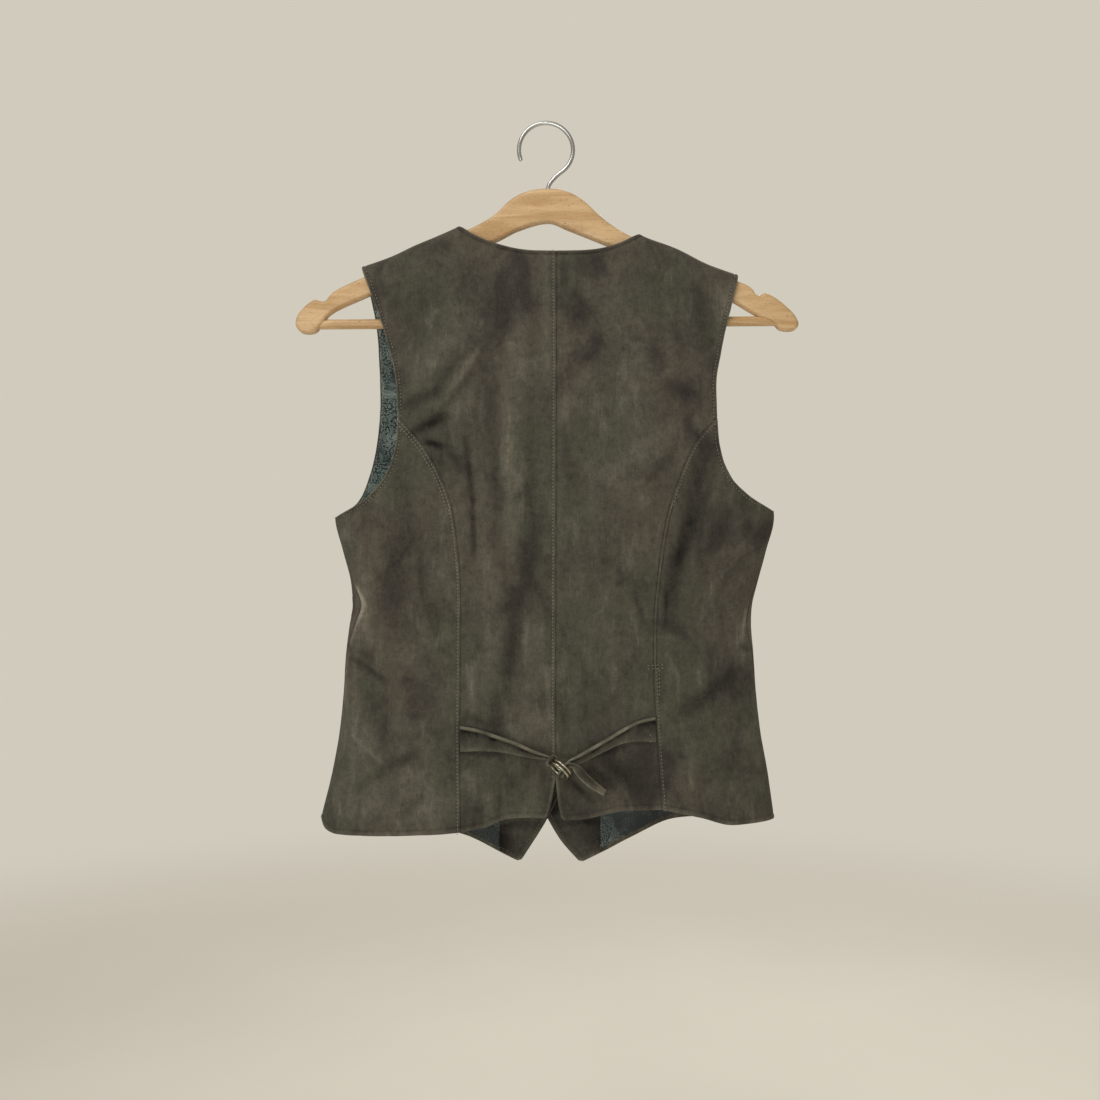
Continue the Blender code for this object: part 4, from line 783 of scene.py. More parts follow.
class Panel:
    """A fine grid of points on the garment, with normals, edge relief, rubbed places, and painted light
    and shade.
    """

    def __init__(self, side, top, bottom, left, right, corner=0.0, pitch=PITCH, crest=None,
                 over=None, inside=None, near=NEAR_ALL, radius=0.0):
        """corner is how far down the right edge its own corner lies, crest the stretch that lies on
        the shoulders' crest, over a rise of the outside, inside how deep a lining lies, near the
        first distances in from each edge, and radius the rounding of the lowest point."""
        two = left.stretches > 1
        if two:
            upper = 1 - np.cos(math.pi / 2 * even(KNEE))
            lower = np.sin(math.pi / 2 * even(DENSE))[1:]
            down = [np.r_[c * upper, c + (1 - c) * lower] for c in (left.corner, corner)]
        else:
            down = [(1 - np.cos(math.pi * even(DENSE))) / 2] * 2
        t = (down[0] + down[1]) / 2
        s = np.tile((1 - np.cos(math.pi * even(DENSE))) / 2, (len(t), 1))
        grid = patch(top, bottom, left(down[0]), right(down[1]), s, t)
        if crest:
            x = grid[0, :, 0]
            lift = smooth(CREST.x, CREST.drop, x) - grid[0, :, 1]
            lift *= (x >= min(crest)) & (x <= max(crest))
            grid[..., 1] += lift * np.clip(1 - t * CREST_FADE, 0, 1)[:, None]
        grid = respaced(side, grid, pitch, near["left"], near["right"])
        grid = np.swapaxes(grid, 0, 1)
        if two:
            above = respaced(side, grid[:, : KNEE + 1], pitch, near["top"], (0.0,))
            below = respaced(side, grid[:, KNEE:], pitch, (0.0,), near["bottom"])
            self.knee = above.shape[1] - 1
            grid = np.concatenate([above, below[:, 1:]], axis=1)
        else:
            self.knee = 0
            grid = respaced(side, grid, pitch, near["top"], near["bottom"])
        self.plane = np.swapaxes(grid, 0, 1)
        if radius:
            corner = self.plane[-1, -1].copy()
            inward = unit(self.plane[-POINT_STEPS, -POINT_STEPS] - corner)
            near_it = np.clip(1 - np.linalg.norm(self.plane - corner, axis=-1) / radius, 0, 1)
            self.plane = self.plane + inward * (POINT_PULL * radius * near_it**2)[..., None]
        x, drop = self.plane[..., 0], self.plane[..., 1]
        self.points = surface(side, x, drop)
        self.normals = normals(side, x, drop)
        if over:
            self.points += self.normals * over(x)[..., None]
        if inside:
            self.points -= self.normals * inside
            self.normals = -self.normals
        self.relief = folds(CREASES, np.full(x.shape, float(side)), x, drop) * (not inside)
        # Painted shade in the crease troughs and a painted highlight on their ridges
        self.wear = self.relief * CREASE_SHADE
        layer = INSIDE if inside else side
        # Painted light and shade: patches partly of the nap's own tone, partly painted shade and painted
        # highlights; the strongest painted highlights also go into the edge marks
        self.shade = folds(NAP_AND_PAINTED_SHADE, np.full(x.shape, float(layer)), x, drop)
        self.wear += np.clip(self.shade - 1, 0, 1)
        self.free = np.zeros(x.shape)
        self.edges = {}

    def row_near(self, drop):
        return int(np.abs(self.plane[:, -1, 1] - drop).argmin())

    def column_near(self, x):
        return int(np.abs(self.plane[0, :, 0] - x).argmin())

    def dress(self, name, side, shape, first=0, last=None, free=SEAM_ROUND):
        """Shapes the cloth along a stretch of an edge, and keeps the stretch under a name."""
        points = turned(self.points, side)
        end = len(points) if last is None else last + 1
        away, along = distances(points[:, :REACH], points[first:end, 0])
        pucker = 1 + PUCKER * sum(np.sin(along / long + shift) for long, shift in PUCKER_WAVES)
        turned(self.relief, side)[:, :REACH] += smooth(shape.away, shape.height, away) * pucker
        # Lighter where rubbed and with painted highlights on raised edges, darker with painted shade in
        # grooves
        turned(self.wear, side)[:, :REACH] += smooth(shape.away, shape.wear, away) * pucker
        rim = turned(self.free, side)
        rim[first:end, 0] = np.maximum(rim[first:end, 0], free)
        self.edges[name] = side, first, end, away

    def outer(self):
        return self.points + self.normals * np.clip(self.relief, *RELIEF_LIMITS)[..., None]

    def path(self, name, inside):
        """Points at this distance inside a named stretch of an edge, and the normals there."""
        side, first, end, away = self.edges[name]
        points, directions = turned(self.outer(), side), turned(self.normals, side)
        found = []
        for i in range(first, end):
            past = np.flatnonzero(away[i] >= inside)
            if not len(past) or past[0] == 0:
                continue
            k = past[0]
            f = (inside - away[i, k - 1]) / (away[i, k] - away[i, k - 1])
            found.append([(1 - f) * a[i, k - 1] + f * a[i, k] for a in (points, directions)])
        found = np.array(found)
        if name in MITRED:
            corner = turned(self.outer(), side)[end - 1, 0]
            found = found[np.linalg.norm(found[:, 0] - corner, axis=1) > MITRE_SHARE * inside]
        return found


def placed(name, data):
    """An object of its own for a mesh, a lamp or a camera."""
    made = bpy.data.objects.new(name, data)
    bpy.context.scene.collection.objects.link(made)
    return made


def mesh_object(name, points, faces, *finishes):
    """A smooth object at the origin, in metres, from points in millimetres."""
    mesh = bpy.data.meshes.new(name)
    mesh.from_pydata((np.asarray(points) * MM).tolist(), [], faces)
    for finish in finishes:
        mesh.materials.append(finish)
    mesh.shade_smooth()
    return placed(name, mesh)


def evaluated(made):
    """A plain mesh of what an object's modifiers make."""
    bpy.context.view_layer.update()
    graph = bpy.context.evaluated_depsgraph_get()
    return bpy.data.meshes.new_from_object(made.evaluated_get(graph))


def mark(made, name, values):
    """Gives each point of a mesh a number that its material reads."""
    layer = made.data.attributes.new(name, "FLOAT", "POINT")
    layer.data.foreach_set("value", np.clip(values, *MARK_LIMITS).astype(np.float32))


def shell(name, outer, inner, free, marks, *finishes, both=False):
    """A closed wall between two grids, with rounded rims. A second finish goes on its inside."""
    rows, columns = outer.shape[:2]
    number = np.arange(rows * columns).reshape(rows, columns)
    loop = np.concatenate([number[0], number[1:, -1], number[-1, -2::-1], number[-2:0:-1, 0]])
    outward = np.zeros_like(outer)
    for side in RIMS:
        turned(outward, side)[:, 0] += unit(turned(outer, side)[:, 0] - turned(outer, side)[:, 1])
    outward = unit(outward).reshape(-1, 3)[loop]
    bulge = free.reshape(-1)[loop][:, None]
    top, base = outer.reshape(-1, 3), inner.reshape(-1, 3)
    bulges = [outward * bulge * math.sin(math.pi * f) ** RIM_FULLNESS for f in RIM]
    rings = [(1 - f) * top[loop] + f * base[loop] + b for f, b in zip(RIM, bulges)]
    points = np.concatenate([top, *rings, base])
    count = rows * columns
    starts = [loop] + [count + len(loop) * k + np.arange(len(loop)) for k in range(len(RIM))]
    starts.append(count + len(loop) * len(RIM) + loop)
    quads = np.stack([number[:-1, :-1], number[:-1, 1:], number[1:, 1:], number[1:, :-1]], axis=-1)
    quads = quads.reshape(-1, 4)
    inside = quads[:, ::-1] + count + len(loop) * len(RIM)
    pairs = zip(starts, starts[1:])
    rim = [np.stack([np.roll(a, -1), a, b, np.roll(b, -1)], axis=1) for a, b in pairs]
    faces = np.concatenate([quads, *rim, inside])
    middle = rows // 2, columns // 2
    a = outer[middle[0], middle[1] + 1] - outer[middle]
    b = outer[middle[0] + 1, middle[1]] - outer[middle]
    if np.dot(np.cross(b, a), outer[middle] - inner[middle]) < 0:
        faces = faces[:, ::-1]
    made = mesh_object(name, points, faces.tolist(), *finishes)
    if len(finishes) > 1:
        index = np.zeros(len(faces), np.int32)
        index[-len(inside) :] = 1
        made.data.polygons.foreach_set("material_index", index)
    for word, values in marks.items():
        values = values.reshape(-1)
        mark(made, word, np.concatenate([values] + [values[loop]] * len(RIM) + [values * both]))
    return made


def cloth(name, panel, thickness, *finishes):
    inner = panel.points - panel.normals * thickness
    marks = {"wear": panel.wear, "shade": panel.shade}
    return shell(name, panel.outer(), inner, panel.free, marks, *finishes)


# Materials


class Socket:
    """A node's output, whose operators add Math nodes."""

    def __init__(self, finish, output):
        self.finish, self.output = finish, output

    def maths(self, operation, *values):
        return self.finish.node("ShaderNodeMath", {"operation": operation}, *values)

    def __add__(self, other):
        return self.maths("ADD", self, other)

    def __sub__(self, other):
        return self.maths("SUBTRACT", self, other)

    def __rsub__(self, other):
        return self.maths("SUBTRACT", other, self)

    def __mul__(self, other):
        return self.maths("MULTIPLY", self, other)

    def __pow__(self, other):
        return self.maths("POWER", self, other)

    def __abs__(self):
        return self.maths("ABSOLUTE", self)

    def floor(self, least):
        return self.maths("MAXIMUM", self, least)

    def cap(self, most):
        return self.maths("MINIMUM", self, most)

    def step(self, low, high):
        """0 below the low value, 1 above the high one, and a soft step between them."""
        settings = {"interpolation_type": "SMOOTHSTEP", "clamp": True}
        return self.finish.node("ShaderNodeMapRange", settings, self, low, high, 0.0, 1.0)

    __radd__, __rmul__ = __add__, __mul__


class Finish:
    """A material on one Principled shader, made from the sockets of this class's nodes."""

    def __init__(self, name, **constants):
        self.material = bpy.data.materials.new(name)
        self.material.use_nodes = True
        self.tree = self.material.node_tree
        self.shader = self.tree.nodes["Principled BSDF"]
        for socket, value in constants.items():
            self.shader.inputs[socket.replace("_", " ")].default_value = value

    def node(self, kind, settings, *values, output=0, **named):
        """Adds a node: its settings first, then its sockets by order or by name."""
        made = self.tree.nodes.new(kind)
        for setting, value in settings.items():
            setattr(made, setting, value)
        for target, value in [*enumerate(values), *named.items()]:
            if isinstance(target, str):
                target = target.replace("_", " ")
            if isinstance(value, Socket):
                self.tree.links.new(value.output, made.inputs[target])
            elif value is not None:
                made.inputs[target].default_value = value
        return Socket(self, made.outputs[output])

    def place(self):
        return self.node("ShaderNodeTexCoord", {}, output="Object")

    def parts(self, vector):
        """The three numbers of a vector."""
        split = self.tree.nodes.new("ShaderNodeSeparateXYZ")
        self.tree.links.new(vector.output, split.inputs[0])
        return [Socket(self, part) for part in split.outputs]

    def scaled(self, vector, scale, turn=(0, 0, 0)):
        return self.node("ShaderNodeMapping", {}, Vector=vector, Rotation=turn, Scale=scale)

    def noise(self, vector, scale, detail=2.0, rough=0.5, bent=0.0):
        values = {"Scale": scale, "Detail": detail, "Roughness": rough, "Distortion": bent}
        return self.node("ShaderNodeTexNoise", {}, Vector=vector, **values)

    def attribute(self, name):
        return self.node("ShaderNodeAttribute", {"attribute_name": name}, output="Fac")

    def mix(self, factor, first, second, blend="MIX"):
        """A mix of two colours. The node's sockets for numbers and vectors stay unused."""
        settings = {"data_type": "RGBA", "blend_type": blend}
        unused = [None] * 5
        return self.node("ShaderNodeMix", settings, factor, *unused, first, second, output=2)

    def tinted(self, colour, factor):
        """The colour made lighter or darker by a factor."""
        grey = self.node("ShaderNodeCombineColor", {}, factor, factor, factor)
        return self.mix(1.0, colour, grey, "MULTIPLY")

    def bump(self, height, distance, strength):
        return self.node("ShaderNodeBump", {}, Strength=strength, Distance=distance, Height=height)

    def wear_it(self, **links):
        for socket, value in links.items():
            self.tree.links.new(value.output, self.shader.inputs[socket.replace("_", " ")])
        return self.material


def paint(red, green, blue):
    """A colour given as it shows on screen, from 0 to 255."""
    return tuple(((c / 255 + 0.055) / 1.055) ** 2.4 for c in (red, green, blue)) + (1.0,)


def suede(name, dark, mid, brown, light):
    """Napped leather: cloudy colour, streaks down the nap, fine grain, rubbed places, and painted light
    and shade: painted shade in folds, grooves and hollows, painted highlights on ridges and rolled edges.
    """
    f = Finish(name, Roughness=0.92, Sheen_Weight=0.12, Sheen_Roughness=0.5,
               Sheen_Tint=(0.80, 0.78, 0.70, 1.0), Specular_IOR_Level=0.15)
    place = f.place()
    clouds = f.noise(f.scaled(place, (1.0, 1.0, 0.7)), 11.0, 2.0, 0.5, 0.4)
    drift = f.noise(f.scaled(place, (1.0, 1.0, 0.6), (0.0, 0.25, 0.0)), 26.0, 3.0, 0.6, 0.6)
    strokes = f.noise(f.scaled(place, (1.0, 1.0, 0.3)), 70.0, 3.0, 0.6, 0.5)
    blots = f.noise(place, 95.0, 2.0, 0.6, 0.3)
    mottle = f.noise(place, 210.0, 2.0, 0.6)
    grain = f.noise(place, 620.0, 2.0, 0.65)
    nap = f.noise(f.scaled(place, (1.0, 1.0, 0.2)), 520.0, 2.0, 0.6)
    brushed = f.noise(f.scaled(place, (1.0, 1.0, 0.09), (0.0, 0.04, 0.0)), 330.0, 2.0, 0.6)
    wear, shade = f.attribute("wear"), f.attribute("shade")
    high = f.parts(place)[2].step(*BROWN_ABOVE)
    colour = f.mix((clouds + high * 0.09).step(0.40, 0.64), mid, brown)
    colour = f.mix(drift.step(0.52, 0.28) * 0.85, colour, dark)
    colour = f.mix((strokes * 0.6 + drift * 0.4).step(0.51, 0.70) * 0.55, colour, light)
    # Painted shade mixes toward the dark colour and painted highlights toward the light one, with the
    # nap's own tone from the same patches
    colour = f.mix(shade.cap(0.0) * -0.72, colour, dark)
    colour = f.mix(shade.floor(0.0) * (0.4 + strokes * 0.6), colour, light)
    streak = brushed.step(0.60, 0.74) * (strokes + shade * 0.5).step(0.45, 0.75)
    tone = 1.0 + (grain - 0.5) * 0.75 + (nap - 0.5) * 0.4 + (mottle - 0.5) * 0.6
    # Painted shade darkens the tone
    tone = tone + (blots - 0.5) * 0.55 + streak * 0.35 + shade.cap(0.0) * 0.2
    # Rubbed edges and painted highlights lighten the tone; painted shade in grooves and under rolled
    # edges darkens it
    tone = tone + wear.floor(0.0) * 0.7 * (0.5 + grain) + wear.cap(0.0) * 0.5
    # Deeper painted shade where the patches are darkest: inside the vent and under the hems
    tone = tone + (shade + 1.0).cap(0.0) * 0.15
    fibre = grain * 0.6 + nap * 0.4
    colour = f.tinted(colour, tone.floor(0.05))
    return f.wear_it(Base_Color=colour, Normal=f.bump(fibre + mottle * 0.8, 0.0006, 0.6))


def lining_print(name):
    """A woven lining with a plain leaf and speckle print on dark teal, darkened by painted shade under
    the hems.
    """
    f = Finish(name, Roughness=0.55, Sheen_Weight=0.1, Specular_IOR_Level=0.35)
    place = f.place()
    x, _, z = f.parts(place)
    flat = f.node("ShaderNodeCombineXYZ", {}, x, z, 0.0)

    def cells(scale, output):
        settings = {"voronoi_dimensions": "2D", "feature": "F1"}
        return f.node("ShaderNodeTexVoronoi", settings, Vector=flat, Scale=scale, output=output)

    def threads(way):
        settings = {"bands_direction": way}
        return f.node("ShaderNodeTexWave", settings, Vector=flat, Scale=380.0, output="Fac")

    shade = None
    for scale, lean, long, thin in ((46.0, 2.2, 0.36, 0.17), (74.0, 4.1, 0.34, 0.13)):
        middle = cells(scale, "Position")
        offset = f.node("ShaderNodeVectorMath", {"operation": "SUBTRACT"}, flat, middle)
        angle = f.node("ShaderNodeSeparateColor", {}, cells(scale, "Color")) * 6.28 + lean
        about = {"rotation_type": "Z_AXIS"}
        local = f.parts(f.node("ShaderNodeVectorRotate", about, Vector=offset, Angle=angle))
        u, v = local[0] * (scale / long), local[1] * (scale / thin)
        bow = v + u * u * 0.7
        body = abs(bow) + u * u * 1.15
        rim = 1.0 - abs(body - 0.86).step(0.02, 0.16)
        vein = (1.0 - abs(bow).step(0.05, 0.16)) * (1.0 - body.step(0.7, 0.8))
        leaf = (1.0 - body.step(0.55, 0.68)) * 0.35
        print_here = rim.floor(vein * 0.8).floor(leaf)
        shade = print_here if shade is None else shade.floor(print_here * 0.75)
    speckle = 1.0 - cells(540.0, "Distance").step(0.25, 0.45)
    where = f.noise(place, 30.0, 2.0).step(0.34, 0.52)
    shade = shade.floor(speckle * where * 0.62)
    worn = f.noise(place, 260.0, 3.0, 0.6)
    shade = shade * (0.35 + worn * 0.9)
    ground = f.mix(f.noise(place, 24.0).step(0.4, 0.62), paint(31, 45, 46), paint(66, 83, 79))
    colour = f.mix(shade.cap(1.0), ground, paint(158, 170, 158))
    # Painted shade on the lining where it lies in shadow under the hems
    colour = f.tinted(colour, (1.0 + f.attribute("shade") * 0.4).floor(0.15))
    return f.wear_it(Base_Color=colour, Normal=f.bump(threads("X") + threads("Y"), 0.0001, 0.3))


def wood(name):
    """Pale beech: long soft bands, short dark flecks along the grain, and a satin lacquer."""
    f = Finish(name, Coat_Weight=0.12, Coat_Roughness=0.5, Specular_IOR_Level=0.35)
    place = f.place()
    long = f.scaled(place, (1.0, 6.0, 9.0))
    bands = f.noise(long, 9.0, 4.0, 0.6, 0.8)
    fibres = f.noise(f.scaled(place, (1.0, 14.0, 22.0)), 38.0, 3.0, 0.6)
    flecks = f.noise(f.scaled(place, (1.0, 5.0, 8.0)), 260.0, 1.0, 0.5)
    pores = f.noise(f.scaled(place, (1.0, 9.0, 12.0)), 520.0, 2.0)
    colour = f.mix(bands.step(0.35, 0.7), paint(219, 184, 138), paint(190, 151, 103))
    colour = f.mix((fibres - 0.5).step(0.0, 0.3) * 0.5, colour, paint(172, 132, 88))
    colour = f.mix(flecks.step(0.64, 0.74) * 0.75, colour, paint(122, 88, 56))
    colour = f.tinted(colour, 1.0 + (pores - 0.5) * 0.25)
    rough = 0.36 + flecks.step(0.6, 0.75) * 0.25 + (fibres - 0.5) * 0.15
    normal = f.bump(fibres * 0.6 + pores * 0.4, 0.0002, 0.4)
    return f.wear_it(Base_Color=colour, Roughness=rough, Normal=normal)


def metal(name, colour, roughness, scale):
    """A worn metal wire: fine scratches and slightly duller patches."""
    f = Finish(name, Metallic=1.0)
    place = f.place()
    patches = f.noise(place, scale, 3.0, 0.6)
    scratches = f.noise(f.scaled(place, (1.0, 1.0, 7.0)), scale * 9, 3.0, 0.7)
    shade = 0.86 + patches * 0.2 + (scratches - 0.5) * 0.16
    rough = roughness + (patches - 0.5) * 0.22 + (scratches - 0.5) * 0.18
    colour, normal = f.tinted(colour, shade), f.bump(scratches, 0.00004, 0.4)
    return f.wear_it(Base_Color=colour, Roughness=rough.floor(0.08), Normal=normal)


def horn(name):
    f = Finish(name, Coat_Weight=0.3, Coat_Roughness=0.2)
    place = f.place()
    streaks = f.noise(f.scaled(place, (1.0, 1.0, 0.25), (0.0, 0.6, 0.0)), 240.0, 4.0, 0.6, 0.8)
    colour = f.mix(streaks.step(0.42, 0.7), paint(38, 30, 24), paint(92, 70, 48))
    rough, normal = 0.32 + (streaks - 0.5) * 0.2, f.bump(streaks, 0.0001, 0.3)
    return f.wear_it(Base_Color=colour, Roughness=rough, Normal=normal)


def thread(name, colour):
    f = Finish(name, Roughness=0.7, Sheen_Weight=0.2)
    place = f.place()
    soil = f.noise(place, 70.0, 3.0)
    plies = f.noise(place, 2400.0, 2.0)
    tone = 0.72 + soil * 0.55 + (plies - 0.5) * 0.3
    return f.wear_it(Base_Color=f.tinted(colour, tone), Normal=f.bump(plies, 0.0001, 0.5))


def floor_finish(name):
    """A pale floor that fades out into the background."""
    f = Finish(name, Roughness=0.9)
    place = f.place()
    x, y, _ = f.parts(place)
    out = (x * x + y * y) ** 0.5
    dust = f.noise(place, 3.0, 4.0)
    f.wear_it(Base_Color=f.mix(dust, paint(238, 233, 221), paint(230, 224, 212)))
    clear = f.tree.nodes.new("ShaderNodeBsdfTransparent")
    fade = f.tree.nodes.new("ShaderNodeMixShader")
    links = f.tree.links
    links.new(out.step(*FLOOR_FADE).output, fade.inputs[0])
    links.new(f.shader.outputs[0], fade.inputs[1])
    links.new(clear.outputs[0], fade.inputs[2])
    links.new(fade.outputs[0], f.tree.nodes["Material Output"].inputs["Surface"])
    return f.material


# The garment


def side_seam(hand, top, bottom):
    """The side seam as the back has it, and as the front has it where its edge rolls round."""
    drops = np.linspace(top, bottom, EDGE_STEPS + 1)
    edge = smooth(SIDES.drop, getattr(SIDES, hand), drops)
    roll = smooth(SIDES.drop, getattr(SIDES, f"wrap_{hand}"), drops)
    inward = 1 if hand == "left" else -1
    return tuple(tuple(zip(edge + turn * inward * roll, drops)) for turn in (1, -1))


def crest_of(shoulder):
    """The stretch of a panel's top that lies on the shoulder's crest."""
    return shoulder[0][0] * CREST_PAST, shoulder[-1][0]


def back_centre(hand):
    cut = LINES[hand]
    outer, middle = Edge(cut.armhole, cut.princess), Edge(CENTRE_SEAM, cut.vent)
    top, bottom = Edge(cut.shoulder, cut.neck), Edge(cut.hem_centre)
    panel = Panel(BACK, top, bottom, outer, middle, corner=BACK_CORNER,
                  crest=crest_of(cut.shoulder), radius=BACK_POINT_ROUND)
    neck = panel.column_near(cut.neck[0][0])
    vent = panel.row_near(cut.vent[0][1])
    seam = STITCHED_SEAM if hand == "left" else PLAIN_SEAM
    panel.dress("princess", "left", PLAIN_SEAM, first=panel.knee)
    panel.dress("shoulder", "top", PLAIN_SEAM, last=neck)
    panel.dress("centre", "right", seam, last=vent)
    panel.dress("armhole", "left", BOUND_EDGE, last=panel.knee, free=EDGE_ROUND)
    panel.dress("neck", "top", BOUND_EDGE, first=neck, free=EDGE_ROUND)
    panel.dress("vent", "right", VENT_EDGE, first=vent, free=EDGE_ROUND)
    panel.dress("hem", "bottom", HEM_EDGE, free=EDGE_ROUND)
    return panel


def back_side(hand):
    cut = LINES[hand]
    edge, _ = side_seam(hand, cut.underarm[-1][1], cut.hem_side[0][1])
    top = edge[:1] + cut.underarm[-2::-1]
    bottom = edge[-1:] + cut.hem_side[1:]
    panel = Panel(BACK, Edge(top), Edge(bottom), Edge(edge), Edge(cut.princess))
    panel.dress("side", "left", SIDE_SEAM)
    if hand == "left":
        curve = panel.row_near(LEFT_CURVE_DROP)
        panel.dress("curve", "right", STITCHED_SEAM, last=curve)
        panel.dress("princess", "right", STITCHED_SEAM, first=curve)
    else:
        first, last = (panel.row_near(drop) for drop in RIGHT_PLAIN_DROPS)
        panel.dress("princess", "right", STITCHED_SEAM, last=first)
        panel.dress("plain", "right", DOUBLE_SEAM, first=first, last=last)
        panel.dress("low", "right", STITCHED_SEAM, first=last)
    panel.dress("armhole", "top", BOUND_EDGE, free=EDGE_ROUND)
    panel.dress("hem", "bottom", HEM_EDGE, free=EDGE_ROUND)
    return panel


def front_panels(hand, over):
    """A front, its lining and its facing."""
    cut = LINES[hand]
    _, seam = side_seam(hand, cut.front_armhole[-1][1], cut.hem_front[0][1])
    outer = Edge(cut.front_armhole[:-1] + seam[:1], seam)
    hem = seam[-1:] + cut.hem_front[1:]
    split = cut.shoulder.index(cut.facing_line[0])
    shared = {"crest": crest_of(cut.shoulder), "over": over}
    front = Panel(FRONT, Edge(cut.shoulder), Edge(hem, cut.point), outer, Edge(cut.front_edge),
                  corner=FRONT_CORNER, pitch=FRONT_PITCH, radius=FRONT_POINT_ROUND, **shared)
    front.dress("side", "left", SIDE_SEAM, first=front.knee)
    front.dress("shoulder", "top", PLAIN_SEAM)
    front.dress("armhole", "left", BOUND_EDGE, last=front.knee, free=EDGE_ROUND)
    front.dress("edge", "right", FRONT_EDGE, free=EDGE_ROUND)
    front.dress("hem", "bottom", HEM_EDGE, free=EDGE_ROUND)
    near = inside_of(SEAM_GAP / 2, HEM_MARGIN, ARMHOLE_MARGIN, SEAM_GAP / 2)
    lining = Panel(FRONT, Edge(cut.shoulder[: split + 1]), Edge(hem), outer, Edge(cut.facing_line),
                   corner=FRONT_CORNER, pitch=LINING_PITCH, near=near,
                   inside=LEATHER + LAYER_GAP + LINING, **shared)
    for side in RIMS:
        lining.dress(side, side, TURNED_UNDER, free=LINING_ROUND)
    near = inside_of(SEAM_GAP / 2, EDGE_MARGIN, SEAM_GAP / 2, EDGE_MARGIN)
    facing = Panel(FRONT, Edge(cut.shoulder[split:]), Edge(cut.point), Edge(cut.facing_line),
                   Edge(cut.front_edge), pitch=LINING_PITCH, near=near,
                   inside=LEATHER + LAYER_GAP + FACING, radius=FRONT_POINT_ROUND, **shared)
    facing.dress("top", "top", PLAIN_SEAM, free=FACING_ROUND)
    facing.dress("lining", "left", PLAIN_SEAM, free=FACING_ROUND)
    facing.dress("edge", "right", FRONT_EDGE, free=FACING_EDGE_ROUND)
    facing.dress("hem", "bottom", FRONT_EDGE, free=FACING_EDGE_ROUND)
    return front, lining, facing


def inside_of(top, bottom, left, right):
    """The first distances in from each edge, for a panel that stops short of its edges."""
    margins = {"top": top, "bottom": bottom, "left": left, "right": right}
    return {side: tuple(margin + step for step in NEAR_INSIDE) for side, margin in margins.items()}


def garment():
    """All the panels, by the name of the node that each stands for."""
    panels = {f"back_centre_{hand}": back_centre(hand) for hand in HANDS}
    panels |= {f"back_side_{hand}": back_side(hand) for hand in HANDS}
    for hand, over in zip(HANDS, (None, lap)):
        names = [f"{name}_{hand}" for name in ("front", "lining_front", "facing_front")]
        panels |= dict(zip(names, front_panels(hand, over)))
    return panels


# Stitches


def stitch_tree(stitch, hole):
    """Geometry nodes that lay stitches, and the needle holes between them, along rows."""
    tree = bpy.data.node_groups.new("stitch rows", "GeometryNodeTree")
    sockets = tree.interface
    sockets.new_socket("Rows", in_out="INPUT", socket_type="NodeSocketGeometry")
    for name, value in STITCH_SIZES.items():
        kind = "NodeSocketInt" if name == "Seed" else "NodeSocketFloat"
        sockets.new_socket(name, in_out="INPUT", socket_type=kind).default_value = value
    sockets.new_socket("Stitches", in_out="OUTPUT", socket_type="NodeSocketGeometry")
    nodes, links = tree.nodes, tree.links

    def node(kind, settings=(), **values):
        made = nodes.new(kind)
        for setting, value in dict(settings).items():
            setattr(made, setting, value)
        for name, value in values.items():
            target = made.inputs[name.replace("_", " ")]
            if isinstance(value, bpy.types.NodeSocket):
                links.new(value, target)
            else:
                target.default_value = value
        return made

    given = node("NodeGroupInput").outputs
    rows = node("GeometryNodeMeshToCurve", Mesh=given["Rows"]).outputs[0]
    spaced = node("GeometryNodeResampleCurve", {"mode": "LENGTH"}, Curve=rows, Length=given["Pitch"])
    spaced = spaced.outputs[0]
    lie = node("GeometryNodeInputNamedAttribute", {"data_type": "FLOAT_VECTOR"}, Name="lie")
    run = node("GeometryNodeInputTangent").outputs[0]
    turn = node("FunctionNodeAlignRotationToVector", {"axis": "X"}, Vector=run)
    turn = node("FunctionNodeAlignRotationToVector", {"axis": "Z", "pivot_axis": "X"},
                Rotation=turn.outputs[0], Vector=lie.outputs[0])

    def chance(low, high):
        drawn = node("FunctionNodeRandomValue", {"data_type": "FLOAT_VECTOR"}, Seed=given["Seed"])
        drawn.inputs[0].default_value, drawn.inputs[1].default_value = low, high
        return drawn.outputs[0]

    uneven = chance(*STITCH_SCALES)
    swing = node("FunctionNodeEulerToRotation")
    links.new(chance((0, 0, -STITCH_TURN), (0, 0, STITCH_TURN)), swing.inputs[0])
    swung = node("FunctionNodeRotateRotation", {"rotation_space": "LOCAL"}, Rotation=turn.outputs[0])
    links.new(swing.outputs[0], swung.inputs[1])
    join = node("GeometryNodeJoinGeometry")
    shapes = (
        (stitch, "Length", "Width", "Height", STITCH_RINGS, 0.0),
        # The needle holes are dark bodies half sunk into the cloth: painted shade in the holes
        (hole, "Hole", "Hole", "Hole depth", HOLE_RINGS, 0.5),
    )
    for finish, long, wide, high, rings, shift in shapes:
        ball = node("GeometryNodeMeshUVSphere", Segments=STITCH_SIDES, Rings=rings, Radius=0.5)
        size = node("ShaderNodeCombineXYZ", X=given[long], Y=given[wide], Z=given[high])
        move = node("ShaderNodeMath", {"operation": "MULTIPLY"})
        links.new(given["Pitch"], move.inputs[0])
        move.inputs[1].default_value = shift
        spot = node("ShaderNodeCombineXYZ", X=move.outputs[0])
        shaped = node("GeometryNodeTransform", Geometry=ball.outputs[0], Scale=size.outputs[0],
                      Translation=spot.outputs[0])
        laid = node("GeometryNodeInstanceOnPoints", Points=spaced, Instance=shaped.outputs[0],
                    Rotation=swung.outputs[0], Scale=uneven)
        solid = node("GeometryNodeRealizeInstances", Geometry=laid.outputs[0])
        soft = node("GeometryNodeSetShadeSmooth", Geometry=solid.outputs[0])
        done = node("GeometryNodeSetMaterial", Geometry=soft.outputs[0], Material=finish)
        links.new(done.outputs[0], join.inputs[0])
    links.new(join.outputs[0], node("NodeGroupOutput").inputs[0])
    return tree


